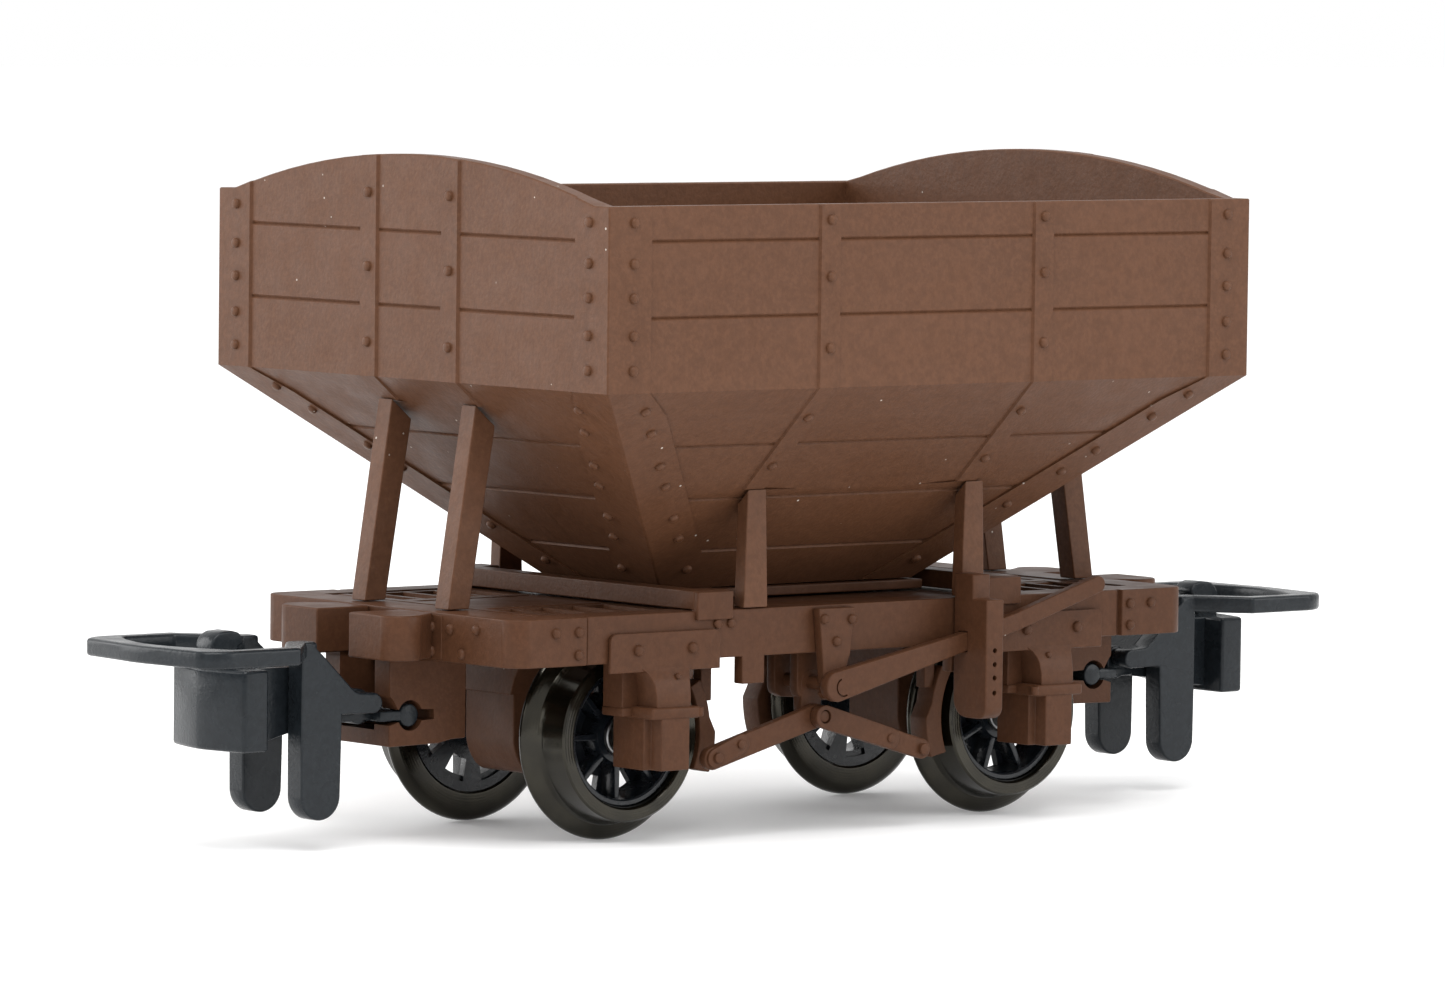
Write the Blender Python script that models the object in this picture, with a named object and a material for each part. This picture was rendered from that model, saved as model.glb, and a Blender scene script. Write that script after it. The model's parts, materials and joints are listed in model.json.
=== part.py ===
"""Narrow-gauge hopper car model (1:76 scale, 9 mm gauge), built as separate pieces.

All driving dimensions are in millimetres and are turned into metres when a mesh is made.
+X runs along the car, +Z is up, and Z = 0 is where the wheel flanges stand.
The car is symmetrical end for end, so most pieces are drawn once in the +X +Y quarter.
"""
import math

import bmesh
import bpy
from mathutils import Matrix, Vector

MM = 0.001
GAP = 0.04                      # clearance kept between neighbouring pieces

# hopper tub
HOPPER_HALF_LENGTH = 15.365
HOPPER_HALF_WIDTH = 11.75
HOPPER_SIDE_TOP = 23.46
HOPPER_ARCH_TOP = 25.01
HOPPER_KINK = 16.82
HOPPER_BOTTOM = 9.0
OUTLET_HALF_LENGTH = 6.10
OUTLET_HALF_WIDTH = 3.33
HOPPER_WALL = 0.75
ARCH_MARGIN = 0.9               # flat rim left between the arch and each corner
ARCH_STEPS = 16

# running gear
WHEELBASE = 18.5
AXLE_X = WHEELBASE / 2
AXLE_HEIGHT = 3.87
FLANGE_RADIUS = 3.87
TREAD_RADIUS = 3.11
TYRE_BORE = 2.56
TYRE_BACK = 3.75
TYRE_BACK_BORE = 2.80
TYRE_STEP_Y = 4.15             # the bore is wider from here to the tyre's back
TYRE_FACE = 5.63
AXLE_RADIUS = 0.75
AXLE_HALF_LENGTH = 5.2
HUB_RADIUS = 1.1
HUB_Y = (1.6, 5.0)
RIM_Y = (3.9, 5.35)
SPOKES = 8
SPOKE_Y = (4.05, 4.90)
SPOKE_HALF_WIDTH = 0.17
REST_TURN = {"front": 0.0, "rear": 18.0}        # degrees each wheelset has rolled on by
RUNNING_CLEARANCE = 0.05
WHEEL_SEGMENTS = 40

# chassis frame
FRAME_HALF_LENGTH = 16.22
FRAME_HALF_WIDTH = 7.5
CORNER_PLATE = 0.15
CORNER_PLATE_START = 12.9
FRAME_CORNER_RADIUS = 0.8
FRAME_TOP = 8.55
FRAME_BOTTOM = 6.80
FRAME_INNER_HALF_LENGTH = 14.5
FRAME_INNER_HALF_WIDTH = 6.1
TAB_X = (4.50, 5.55)
TAB_INNER_Y = 7.0
TAB_BOTTOM = 5.79
DECK_TOP = 8.50
DECK_BOTTOM = 8.10
DECK_OPENING_X = (8.3, 13.5)
DECK_OPENING_Y = (2.7, 5.4)

# tub floor, and the screw up through the ballast and the deck into it
FLOOR_HALF_SIZE = (6.4, 3.6)
FLOOR_Z = (8.60, 8.95)
SCREW_HEAD_RADIUS = 0.95
SCREW_RADIUS = 0.45
SCREW_HEAD_Z = (6.35, 6.91)
SCREW_TIP = 8.9
BALLAST_HALF_SIZE = (4.9, 5.2)
BALLAST_BOTTOM = 6.95

# dumb buffers on the headstocks
BUFFER_FRONT_X = 18.625
BUFFER_INNER_Y = 0.95
BUFFER_ROOT_Y = 2.85
BUFFER_CHEEK_RADIUS = 0.85
BUFFER_CHEEK_Y = 2.83
BUFFER_Z = (6.88, 8.52)

# posts between frame and tub; side posts stand a little nearer the middle on one diagonal
SIDE_POST_X = (5.03, 5.45)
SIDE_POST_Y = (7.0, 7.6)
SIDE_POST_FOOT_HALF = 0.56
SIDE_POST_HEAD_HALF = 0.44
END_POST_Y = (2.09, 2.94)
END_POST_FOOT_X = (14.65, 15.60)
END_POST_HEAD_Z = (15.22, 15.98)

# bolsters across the frame
BOLSTER_INNER_X = 6.10
BOLSTER_WEB_X = 6.95
BOLSTER_OUTER_X = 7.83
BOLSTER_TOP = 9.28
BOLSTER_HALF_WIDTH = 7.46
BOLSTER_BLOCK_Y = 6.3           # inner faces of the blocks at a bolster's ends

# axleguards outside the wheels and bearing blocks between them
GUARD_BACK_Y = 5.85
PLATE_FACE_Y = 7.69
PLATE_X = (-2.5, 2.6)
PLATE_Z = (6.45, 7.88)
PLATE_CORNER = 0.30
WEB_HALF_WIDTH = 1.5
WEB_FACE_Y = 7.0
COLUMN_FACE_Y = 8.15
COLUMN_HALF_WIDTHS = (0.78, 0.95)
AXLEBOX_FACE_Y = 8.25
AXLEBOX_HALF_WIDTH = 0.66
SHOULDER_FACE_Y = 7.66
SHOULDER_HALF_WIDTH = 1.0
AXLEBOX_BOTTOM = 2.87
LEDGE_FACE_Y = 8.30
LEDGE_HALF_WIDTH = 1.12
LEDGE_Z = (4.75, 5.17)
BLOCK_HALF_LENGTH = 2.15
BLOCK_HALF_WIDTH = 1.45
BLOCK_BOTTOM = 2.25
PEDESTAL_HALF_LENGTH = 2.3
PEDESTAL_HALF_WIDTH = 2.2

# couplers
PIVOT_X = 18.35
PIVOT_Z = 5.29
PIN_RADIUS = 0.20
PIN_HALF_LENGTH = 2.17
ARM_INNER_Y = 1.34
ARM_OUTER_Y = 2.23
LOOP_TOP = 7.62
LOOP_BOTTOM = 6.98
LOOP_END_X = 27.40
LOOP_HALF_WIDTH = 4.05
TAIL_X = (19.80, 21.62)
TAIL_BOTTOM = 1.16
LUG_RADIUS = 0.45
SHANK_Z = (4.55, 4.93)
BLOCK_X = (23.05, 24.13)
BLOCK_BULGE = 0.49
BUFFING_Z = (3.75, 6.70)
BUFFING_HALF_WIDTH = 2.22
HOOK_WEB_HALF_WIDTH = 1.2
CREST_HALF_WIDTH = 0.5
POCKET_MOUTH_X = 17.49
POCKET_REAR_X = 14.0
POCKET_HALF_WIDTH = 1.98
POCKET_INNER_Y = 1.06
POCKET_FLOOR = 4.2
BOSS_X = 16.56
BOSS_Z = 4.74
BOSS_RADIUS = 0.42
KEYHOLE_RADIUS = 0.56

# brake gear, on the -Y side; the +Y side is its mirror image
LEVER_PIVOT = (-1.66, 5.63)
ROD_PIVOT = (-1.66, 4.42)
LEVER_FACES_Y = (7.96, 8.40)
LEVER_HEIGHT = 0.70
LEVER_END_RADIUS = 0.56
LEVER_ROUTE = (LEVER_PIVOT, (4.5, 6.98), (7.0, 7.62), (11.05, 8.87))
GUIDE_X = (4.50, 5.35)
GUIDE_FRONT_Y = 9.50
GUIDE_HEAD_Y = 8.70
GUIDE_Z = (4.15, 8.60, 9.50)
HANGER_FACE_Y = 7.94
SHAFT_RADIUS = 0.30
CRANK_Y = (6.30, 6.80)
BRACKET_Y = (5.00, 5.45)       # inner twin of the bracket that the crank hangs in
INNER_ROD_Y = (6.84, 7.20)
OUTER_ROD_Y = (7.24, 7.58)
INNER_ROD_END = (-6.60, 3.08)
OUTER_ROD_END = (3.15, 2.98)
ROD_PIN_RADIUS = 0.22
SHOE_RADII = (3.40, 3.92)
SHOE_HALF_ANGLE = 23.0
SHOE_Y = (4.50, 5.45)
STRUT_X = (5.15, 5.65)
STRUT_Y = (4.75, 5.25)
STRUT_FOOT = 5.0


# ---------------------------------------------------------------- materials

FINISHES = {
    "brown_plastic": ((0.135, 0.075, 0.048), 0.55, 0.0),
    "coupler_plastic": ((0.042, 0.047, 0.050), 0.42, 0.0),
    "black_plastic": ((0.010, 0.011, 0.013), 0.45, 0.0),
    "blackened_metal": ((0.10, 0.092, 0.065), 0.35, 0.85),
    "steel": ((0.42, 0.42, 0.43), 0.35, 1.0),
}


def finish(slot):
    """The Principled material of a finish, made once and shared by its pieces."""
    if slot in bpy.data.materials:
        return bpy.data.materials[slot]
    colour, roughness, metallic = FINISHES[slot]
    material = bpy.data.materials.new(slot)
    material.use_nodes = True
    shader = material.node_tree.nodes["Principled BSDF"]
    shader.inputs["Base Color"].default_value = (*colour, 1.0)
    shader.inputs["Roughness"].default_value = roughness
    shader.inputs["Metallic"].default_value = metallic
    return material


# ---------------------------------------------------------------- outlines

def arc(centre, radius, start, end, steps):
    """Points along a circular arc, angles in degrees."""
    points = []
    for i in range(steps + 1):
        angle = math.radians(start + (end - start) * i / steps)
        points.append((centre[0] + radius * math.cos(angle), centre[1] + radius * math.sin(angle)))
    return points


def bar_outline(start, end, start_radius, end_radius, steps=6):
    """A round-ended bar between two points, as wide at each end as its radius says."""
    heading = math.degrees(math.atan2(end[1] - start[1], end[0] - start[0]))
    return (arc(end, end_radius, heading - 90, heading + 90, steps)
            + arc(start, start_radius, heading + 90, heading + 270, steps))


def both_sides(half):
    """An outline drawn for Y >= 0, closed by its mirror image across the X axis."""
    return half + [(x, -y) for x, y in reversed(half) if y > 0]


# ---------------------------------------------------------------- solids

def spread(axis, point, along):
    """A 3-D point from a 2-D outline point and its place along the extrusion axis."""
    a, b = point
    return {"X": (along, a, b), "Y": (a, along, b), "Z": (a, b, along)}[axis]


def close(bm):
    bmesh.ops.recalc_face_normals(bm, faces=bm.faces)
    return bm


def loft(rings, capped=True):
    """Skins closed rings of points; each ring joins the next, and the last one the first or a cap."""
    bm = bmesh.new()
    loops = [[bm.verts.new(point) for point in ring] for ring in rings]
    count = len(loops[0])
    pairs = list(zip(loops, loops[1:]))
    if capped:
        bm.faces.new(loops[0])
        bm.faces.new(loops[-1])
    else:
        pairs.append((loops[-1], loops[0]))
    for lower, upper in pairs:
        for i in range(count):
            j = (i + 1) % count
            bm.faces.new((lower[i], lower[j], upper[j], upper[i]))
    return close(bm)


def prism(outline, axis, low, high):
    """An outline extruded along an axis."""
    return loft([[spread(axis, point, along) for point in outline] for along in (low, high)])


def box(x, y, z):
    outline = [(x[0], y[0]), (x[1], y[0]), (x[1], y[1]), (x[0], y[1])]
    return prism(outline, "Z", z[0], z[1])


def rod(axis, centre, radius, low, high, segments=20):
    """A cylinder along an axis; its centre is given in the plane across that axis."""
    step = 360 / segments
    return prism(arc(centre, radius, 0, 360 - step, segments - 1), axis, low, high)


def ring_about_y(profile, centre, segments):
    """A closed (radius, y) profile turned about an axis parallel to Y."""
    rings = []
    for radius, y in profile:
        points = arc(centre, radius, 0, 360 - 360 / segments, segments - 1)
        rings.append([(x, y, z) for x, z in points])
    return loft(rings, capped=False)


def mesh_of(name, bm):
    """Turns a millimetre bmesh into a metre mesh, and frees the bmesh."""
    bmesh.ops.scale(bm, vec=Vector((MM, MM, MM)), verts=bm.verts)
    mesh = bpy.data.meshes.new(name)
    bm.to_mesh(mesh)
    bm.free()
    return mesh


def solid(name, bm, slot):
    """A named object made from a bmesh, with its finish."""
    part = bpy.data.objects.new(name, mesh_of(name, bm))
    bpy.context.collection.objects.link(part)
    part.data.materials.append(finish(slot))
    return part


def combine(part, tool_bm, operation):
    """Adds (UNION) or cuts away (DIFFERENCE) a shape, exactly."""
    tool = bpy.data.objects.new("tool", mesh_of("tool", tool_bm))
    bpy.context.collection.objects.link(tool)
    modifier = part.modifiers.new("combine", "BOOLEAN")
    modifier.operation = operation
    modifier.solver = "EXACT"
    modifier.object = tool
    bpy.context.view_layer.update()
    depsgraph = bpy.context.evaluated_depsgraph_get()
    result = bpy.data.meshes.new_from_object(part.evaluated_get(depsgraph))
    part.modifiers.clear()
    used = part.data
    part.data = result
    result.name = part.name
    bpy.data.meshes.remove(used)
    used = tool.data
    bpy.data.objects.remove(tool)
    bpy.data.meshes.remove(used)


def fuse(part, *shapes):
    for shape in shapes:
        combine(part, shape, "UNION")


def cut(part, *shapes):
    for shape in shapes:
        combine(part, shape, "DIFFERENCE")


def smooth(part, angle=32):
    part.data.shade_smooth()
    part.data.set_sharp_from_angle(angle=math.radians(angle))


def reflected(part, name, side_x, side_y):
    """A copy mirrored across X, Y or both (both together is half a turn)."""
    mesh = part.data.copy()
    mesh.name = name
    mesh.transform(Matrix.Diagonal((side_x, side_y, 1, 1)))
    if side_x * side_y < 0:
        mesh.flip_normals()
    copy = bpy.data.objects.new(name, mesh)
    bpy.context.collection.objects.link(copy)
    return copy


END_NAMES = {1: "rear", -1: "front"}
SIDE_NAMES = {1: "right", -1: "left"}
CORNERS = ((1, 1), (1, -1), (-1, 1), (-1, -1))


def at_corners(part, stem, corners=CORNERS):
    """Puts a piece drawn in the +X +Y quarter at the given corners, and names each."""
    copies = []
    for side_x, side_y in corners:
        name = f"{stem}_{END_NAMES[side_x]}_{SIDE_NAMES[side_y]}"
        copies.append(reflected(part, name, side_x, side_y))
    bpy.data.objects.remove(part)
    return copies


def both_ends(part, stem):
    """Puts a piece drawn at the +X end at both ends, and names each."""
    copies = [reflected(part, f"{stem}_{END_NAMES[side]}", side, 1) for side in (1, -1)]
    bpy.data.objects.remove(part)
    return copies


def both_brakes(part, stem):
    """Puts a brake piece of the -Y side on both sides, one the mirror image of the other."""
    copies = [reflected(part, f"{stem}_left", 1, 1), reflected(part, f"{stem}_right", 1, -1)]
    bpy.data.objects.remove(part)
    return copies


def mirrored_pair(span, side):
    """A (low, high) span, reflected to the negative side when side is -1."""
    return tuple(sorted(side * value for value in span))


def hang_on(pieces, name, x, z, turn=0.0):
    """Parents moving pieces to an empty on their joint's axis, turned about it by some degrees."""
    pivot = bpy.data.objects.new(name, None)
    pivot.location = (x * MM, 0, z * MM)
    bpy.context.collection.objects.link(pivot)
    for piece in pieces:
        piece.data.transform(Matrix.Translation((-x * MM, 0, -z * MM)))
        piece.data.transform(Matrix.Rotation(math.radians(turn), 4, "Y"))
        piece.parent = pivot


# ---------------------------------------------------------------- tub

def end_slope_x(z):
    """Half length of the tub's outside at a height on its lower slopes."""
    share = (z - HOPPER_BOTTOM) / (HOPPER_KINK - HOPPER_BOTTOM)
    return OUTLET_HALF_LENGTH + share * (HOPPER_HALF_LENGTH - OUTLET_HALF_LENGTH)


def side_slope_z(y):
    """Height of the tub's outside at a distance from the middle on its lower slopes."""
    share = (y - OUTLET_HALF_WIDTH) / (HOPPER_HALF_WIDTH - OUTLET_HALF_WIDTH)
    return HOPPER_BOTTOM + share * (HOPPER_KINK - HOPPER_BOTTOM)


def arch_height(y):
    """Height of the end walls' arched rim."""
    half_span = HOPPER_HALF_WIDTH - ARCH_MARGIN
    rise = HOPPER_ARCH_TOP - HOPPER_SIDE_TOP
    radius = (half_span ** 2 + rise ** 2) / (2 * rise)
    if abs(y) >= half_span:
        return HOPPER_SIDE_TOP
    return HOPPER_ARCH_TOP - radius + math.sqrt(radius ** 2 - y ** 2)


def tub_ring(half_length, half_width, height):
    """One level of the tub; height is a function of how far out, 0 to 1, a point of an end is."""
    half_span = 1 - ARCH_MARGIN / HOPPER_HALF_WIDTH
    shares = [-1] + [half_span * (2 * i / ARCH_STEPS - 1) for i in range(ARCH_STEPS + 1)] + [1]
    ring = [(half_length, share * half_width, height(share)) for share in shares]
    return ring + [(-x, -y, z) for x, y, z in ring]


def make_tub():
    slope_x = (HOPPER_HALF_LENGTH - OUTLET_HALF_LENGTH) / (HOPPER_KINK - HOPPER_BOTTOM)
    slope_y = (HOPPER_HALF_WIDTH - OUTLET_HALF_WIDTH) / (HOPPER_KINK - HOPPER_BOTTOM)
    inset_x = HOPPER_WALL * math.hypot(1, slope_x)
    inset_y = HOPPER_WALL * math.hypot(1, slope_y)
    inner_kink = HOPPER_KINK + (inset_x - HOPPER_WALL) / slope_x
    length, width = HOPPER_HALF_LENGTH, HOPPER_HALF_WIDTH

    def rim(share):
        return arch_height(share * width)

    rings = [
        tub_ring(OUTLET_HALF_LENGTH, OUTLET_HALF_WIDTH, lambda share: HOPPER_BOTTOM),
        tub_ring(length, width, lambda share: HOPPER_KINK),
        tub_ring(length, width, rim),
        tub_ring(length - HOPPER_WALL, width - HOPPER_WALL, rim),
        tub_ring(length - HOPPER_WALL, width - HOPPER_WALL, lambda share: inner_kink),
        tub_ring(OUTLET_HALF_LENGTH - inset_x, OUTLET_HALF_WIDTH - inset_y,
                 lambda share: HOPPER_BOTTOM),
    ]
    solid("hopper_tub", loft(rings, capped=False), "brown_plastic")

    half_x, half_y = FLOOR_HALF_SIZE
    floor = solid("hopper_floor", box((-half_x, half_x), (-half_y, half_y), FLOOR_Z), "brown_plastic")
    cut(floor, rod("Z", (0, 0), SCREW_RADIUS + GAP, FLOOR_Z[0] - 1, FLOOR_Z[1] + 1))


# ---------------------------------------------------------------- chassis

def make_frame():
    """The moulded ring of solebars and headstocks, with the tabs that hang under the side posts."""
    corner_y = FRAME_HALF_WIDTH + CORNER_PLATE
    radius = FRAME_CORNER_RADIUS
    centre = (FRAME_HALF_LENGTH - radius, corner_y - radius)
    quarter = [(0, FRAME_HALF_WIDTH), (CORNER_PLATE_START, FRAME_HALF_WIDTH)]
    quarter += [(CORNER_PLATE_START, corner_y)] + arc(centre, radius, 90, 0, 6)
    outline = quarter + [(x, -y) for x, y in reversed(quarter)]
    outline += [(-x, -y) for x, y in quarter[1:]] + [(-x, y) for x, y in reversed(quarter[1:])]
    frame = solid("chassis_frame", prism(outline, "Z", FRAME_BOTTOM, FRAME_TOP), "brown_plastic")
    inner_x, inner_y = FRAME_INNER_HALF_LENGTH, FRAME_INNER_HALF_WIDTH
    cut(frame, box((-inner_x, inner_x), (-inner_y, inner_y), (6, 9)))
    for side_x, side_y in CORNERS:
        y = (TAB_INNER_Y, FRAME_HALF_WIDTH)
        fuse(frame, box(mirrored_pair(TAB_X, side_x), mirrored_pair(y, side_y),
                        (TAB_BOTTOM, FRAME_BOTTOM + CORNER_PLATE)))


def make_deck():
    """The deck plate inside the frame, the ballast under it and the screw that holds both to the tub."""
    half_x, half_y = FRAME_INNER_HALF_LENGTH - GAP, FRAME_INNER_HALF_WIDTH - GAP
    plate = box((-half_x, half_x), (-half_y, half_y), (DECK_BOTTOM, DECK_TOP))
    deck = solid("deck_plate", plate, "brown_plastic")
    for side_x, side_y in CORNERS:
        x, y = mirrored_pair(DECK_OPENING_X, side_x), mirrored_pair(DECK_OPENING_Y, side_y)
        cut(deck, box(x, y, (DECK_BOTTOM - 1, DECK_TOP + 1)))
    cut(deck, rod("Z", (0, 0), SCREW_RADIUS + GAP, DECK_BOTTOM - 1, DECK_TOP + 1))

    half_x, half_y = BALLAST_HALF_SIZE
    weight = box((-half_x, half_x), (-half_y, half_y), (BALLAST_BOTTOM, DECK_BOTTOM - GAP))
    ballast = solid("ballast_weight", weight, "steel")
    cut(ballast, rod("Z", (0, 0), SCREW_RADIUS + GAP, BALLAST_BOTTOM - 1, DECK_BOTTOM + 1))

    screw = solid("fixing_screw", rod("Z", (0, 0), SCREW_HEAD_RADIUS, *SCREW_HEAD_Z), "steel")
    fuse(screw, rod("Z", (0, 0), SCREW_RADIUS, SCREW_HEAD_Z[1] - GAP, SCREW_TIP))
    smooth(screw)


def make_buffers():
    """Dumb buffer blocks, each with one rounded cheek, on the headstocks."""
    root = FRAME_HALF_LENGTH + GAP
    outline = [(root, BUFFER_INNER_Y), (BUFFER_FRONT_X, BUFFER_INNER_Y)]
    outline += arc((BUFFER_FRONT_X - BUFFER_CHEEK_RADIUS, BUFFER_CHEEK_Y), BUFFER_CHEEK_RADIUS, 0, 140, 11)
    outline.append((root, BUFFER_ROOT_Y))
    buffer = solid("buffer", prism(outline, "Z", *BUFFER_Z), "brown_plastic")
    smooth(buffer)
    at_corners(buffer, "dumb_buffer")


def make_bolsters():
    """Bolsters: beams across the frame top with a block at each end."""
    half = BOLSTER_HALF_WIDTH
    beam = box((BOLSTER_INNER_X, BOLSTER_OUTER_X), (-half, half), (FRAME_TOP + GAP, BOLSTER_TOP))
    bolster = solid("bolster", beam, "brown_plastic")
    block_y = BOLSTER_BLOCK_Y
    cut(bolster, box((BOLSTER_INNER_X - 1, BOLSTER_WEB_X), (-block_y, block_y), (FRAME_TOP, BOLSTER_TOP + 1)))
    both_ends(bolster, "bolster")


def make_posts():
    """Side posts and end posts: tapered or leaning struts whose tops follow the tub's slopes."""
    foot = FRAME_TOP + GAP
    under = GAP * 1.5
    feet = SIDE_POST_FOOT_HALF
    heads = SIDE_POST_HEAD_HALF
    inner, outer = SIDE_POST_Y
    for x, corners in zip(SIDE_POST_X, (((-1, 1), (-1, -1)), ((1, -1), (1, 1)))):
        base = [(x - feet, inner, foot), (x + feet, inner, foot),
                (x + feet, outer, foot), (x - feet, outer, foot)]
        top = [(x + dx, y, side_slope_z(y) - under) for dx, y in
               ((-heads, inner), (heads, inner), (heads, outer), (-heads, outer))]
        at_corners(solid("post", loft([base, top]), "brown_plastic"), "side_post", corners)

    head_x = [end_slope_x(z + under) for z in END_POST_HEAD_Z]
    order = ((0, 0), (1, 0), (1, 1), (0, 1))
    base = [(END_POST_FOOT_X[i], END_POST_Y[j], foot) for i, j in order]
    top = [(head_x[i], END_POST_Y[j], END_POST_HEAD_Z[i]) for i, j in order]
    at_corners(solid("post", loft([base, top]), "brown_plastic"), "end_post")


def make_axleguards():
    """Outside axleguards: bolted plate, spring column, ledge and axlebox in one moulding."""
    x = AXLE_X
    top, corner = PLATE_Z[1], PLATE_CORNER
    plate = [(x + PLATE_X[0], PLATE_Z[0]), (x + PLATE_X[1], PLATE_Z[0])]
    plate += arc((x + PLATE_X[1] - corner, top - corner), corner, 0, 90, 4)
    plate += arc((x + PLATE_X[0] + corner, top - corner), corner, 90, 180, 4)
    guard = solid("guard", prism(plate, "Y", FRAME_HALF_WIDTH + GAP, PLATE_FACE_Y), "brown_plastic")

    under_frame = FRAME_BOTTOM - GAP
    ledge_middle = sum(LEDGE_Z) / 2
    low, high = COLUMN_HALF_WIDTHS
    column = [(x - low, ledge_middle), (x + low, ledge_middle), (x + high, under_frame),
              (x - high, under_frame)]
    half, shoulder = AXLEBOX_HALF_WIDTH, SHOULDER_HALF_WIDTH
    plan = [(x + half, AXLEBOX_FACE_Y), (x - half, AXLEBOX_FACE_Y), (x - half, SHOULDER_FACE_Y),
            (x - shoulder, SHOULDER_FACE_Y), (x - shoulder, GUARD_BACK_Y), (x + shoulder, GUARD_BACK_Y),
            (x + shoulder, SHOULDER_FACE_Y), (x + half, SHOULDER_FACE_Y)]
    web, ledge = WEB_HALF_WIDTH, LEDGE_HALF_WIDTH
    fuse(guard,
         box((x - web, x + web), (GUARD_BACK_Y, WEB_FACE_Y), (ledge_middle, under_frame)),
         prism(column, "Y", WEB_FACE_Y - CORNER_PLATE, COLUMN_FACE_Y),
         prism(plan, "Z", AXLEBOX_BOTTOM, ledge_middle),
         box((x - ledge, x + ledge), (GUARD_BACK_Y, LEDGE_FACE_Y), LEDGE_Z))
    at_corners(guard, "axleguard")


def make_axle_blocks():
    """Bearing blocks under the deck that carry the axles between the wheels."""
    x = AXLE_X
    half = BLOCK_HALF_WIDTH
    wide = PEDESTAL_HALF_WIDTH
    pedestal = [(half, 5.2), (1.5, 5.5), (1.72, 6.1), (wide, FRAME_BOTTOM), (wide, DECK_BOTTOM - GAP)]
    pedestal = pedestal + [(-y, z) for y, z in reversed(pedestal)]
    length = PEDESTAL_HALF_LENGTH
    block = solid("block", prism(pedestal, "X", x - length, x + length), "brown_plastic")
    tongue = [(BLOCK_HALF_LENGTH, 5.4), (BLOCK_HALF_LENGTH, 3.4), (2.02, 3.05), (1.72, 2.52),
              (1.35, BLOCK_BOTTOM)]
    tongue = [(x + dx, z) for dx, z in tongue] + [(x - dx, z) for dx, z in reversed(tongue)]
    fuse(block, prism(tongue, "Y", -half, half))
    cut(block, rod("Y", (x, AXLE_HEIGHT), AXLE_RADIUS + RUNNING_CLEARANCE, -wide, wide, 32))
    both_ends(block, "axle_block")


# ---------------------------------------------------------------- wheelsets

def make_wheelsets():
    """Wheelsets: turned metal tyres on spoked plastic centres, pressed on steel axles."""
    centre = (AXLE_X, AXLE_HEIGHT)
    tyre_profile = [
        (TYRE_BACK_BORE, TYRE_BACK), (3.55, TYRE_BACK), (3.80, 3.84), (FLANGE_RADIUS, 4.02), (3.74, 4.20),
        (3.28, 4.38), (3.20, 4.55), (TREAD_RADIUS, TYRE_FACE), (TYRE_BORE, TYRE_FACE),
        (TYRE_BORE, TYRE_STEP_Y), (TYRE_BACK_BORE, TYRE_STEP_Y),
    ]
    tyre = solid("tyre", ring_about_y(tyre_profile, centre, WHEEL_SEGMENTS), "blackened_metal")
    smooth(tyre)
    tyres = at_corners(tyre, "wheel_tyre")

    bore = AXLE_RADIUS + GAP / 2
    hub_profile = [(bore, HUB_Y[0]), (HUB_RADIUS, HUB_Y[0]), (HUB_RADIUS, HUB_Y[1]), (bore, HUB_Y[1])]
    wheel = solid("wheel", ring_about_y(hub_profile, centre, 20), "black_plastic")
    rim_radius = TYRE_BORE - GAP / 2
    rim_profile = [(2.22, RIM_Y[0]), (rim_radius, RIM_Y[0]), (rim_radius, RIM_Y[1]), (2.28, RIM_Y[1])]
    spokes = []
    for i in range(SPOKES):
        arm = box((HUB_RADIUS - 0.15, 2.40), SPOKE_Y, (-SPOKE_HALF_WIDTH, SPOKE_HALF_WIDTH))
        bmesh.ops.rotate(arm, verts=arm.verts, matrix=Matrix.Rotation(math.tau * i / SPOKES, 3, "Y"))
        bmesh.ops.translate(arm, verts=arm.verts, vec=Vector((centre[0], 0, centre[1])))
        spokes.append(arm)
    fuse(wheel, *spokes, ring_about_y(rim_profile, centre, WHEEL_SEGMENTS))
    smooth(wheel)
    wheels = at_corners(wheel, "wheel_centre")

    half = AXLE_HALF_LENGTH
    axle = solid("axle", rod("Y", centre, AXLE_RADIUS, -half, half, 32), "steel")
    smooth(axle)
    axles = both_ends(axle, "axle")
    for side, axle in zip((1, -1), axles):
        end = END_NAMES[side]
        pieces = [piece for piece in tyres + wheels if f"_{end}_" in piece.name]
        hang_on([axle] + pieces, f"wheelset_{end}_pivot", side * AXLE_X, AXLE_HEIGHT, REST_TURN[end])


# ---------------------------------------------------------------- couplers

def make_pockets():
    """Coupler pockets: a channel under each headstock with a keyhole through both walls."""
    top = FRAME_BOTTOM - GAP
    profile = [(POCKET_REAR_X, 3.80), (14.64, 3.78), (15.24, 3.66), (POCKET_MOUTH_X, 3.62),
               (POCKET_MOUTH_X, top), (POCKET_REAR_X, top)]
    half = POCKET_HALF_WIDTH
    pocket = solid("pocket", prism(profile, "Y", -half, half), "brown_plastic")
    keyhole = [(15.48, BOSS_Z - 0.18), (BOSS_X, BOSS_Z - 0.23), (17.1, BOSS_Z - 0.23), (17.7, BOSS_Z - 0.4),
               (17.7, 5.7), (17.35, 5.35), (17.1, BOSS_Z + 0.23), (BOSS_X, BOSS_Z + 0.23),
               (15.48, BOSS_Z + 0.18)]
    cut(pocket,
        box((14.6, 18), (-POCKET_INNER_Y, POCKET_INNER_Y), (POCKET_FLOOR, 8)),
        prism(keyhole, "Y", -3, 3),
        rod("Y", (BOSS_X, BOSS_Z), KEYHOLE_RADIUS, -3, 3, 24))
    both_ends(pocket, "coupler_pocket")


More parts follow.
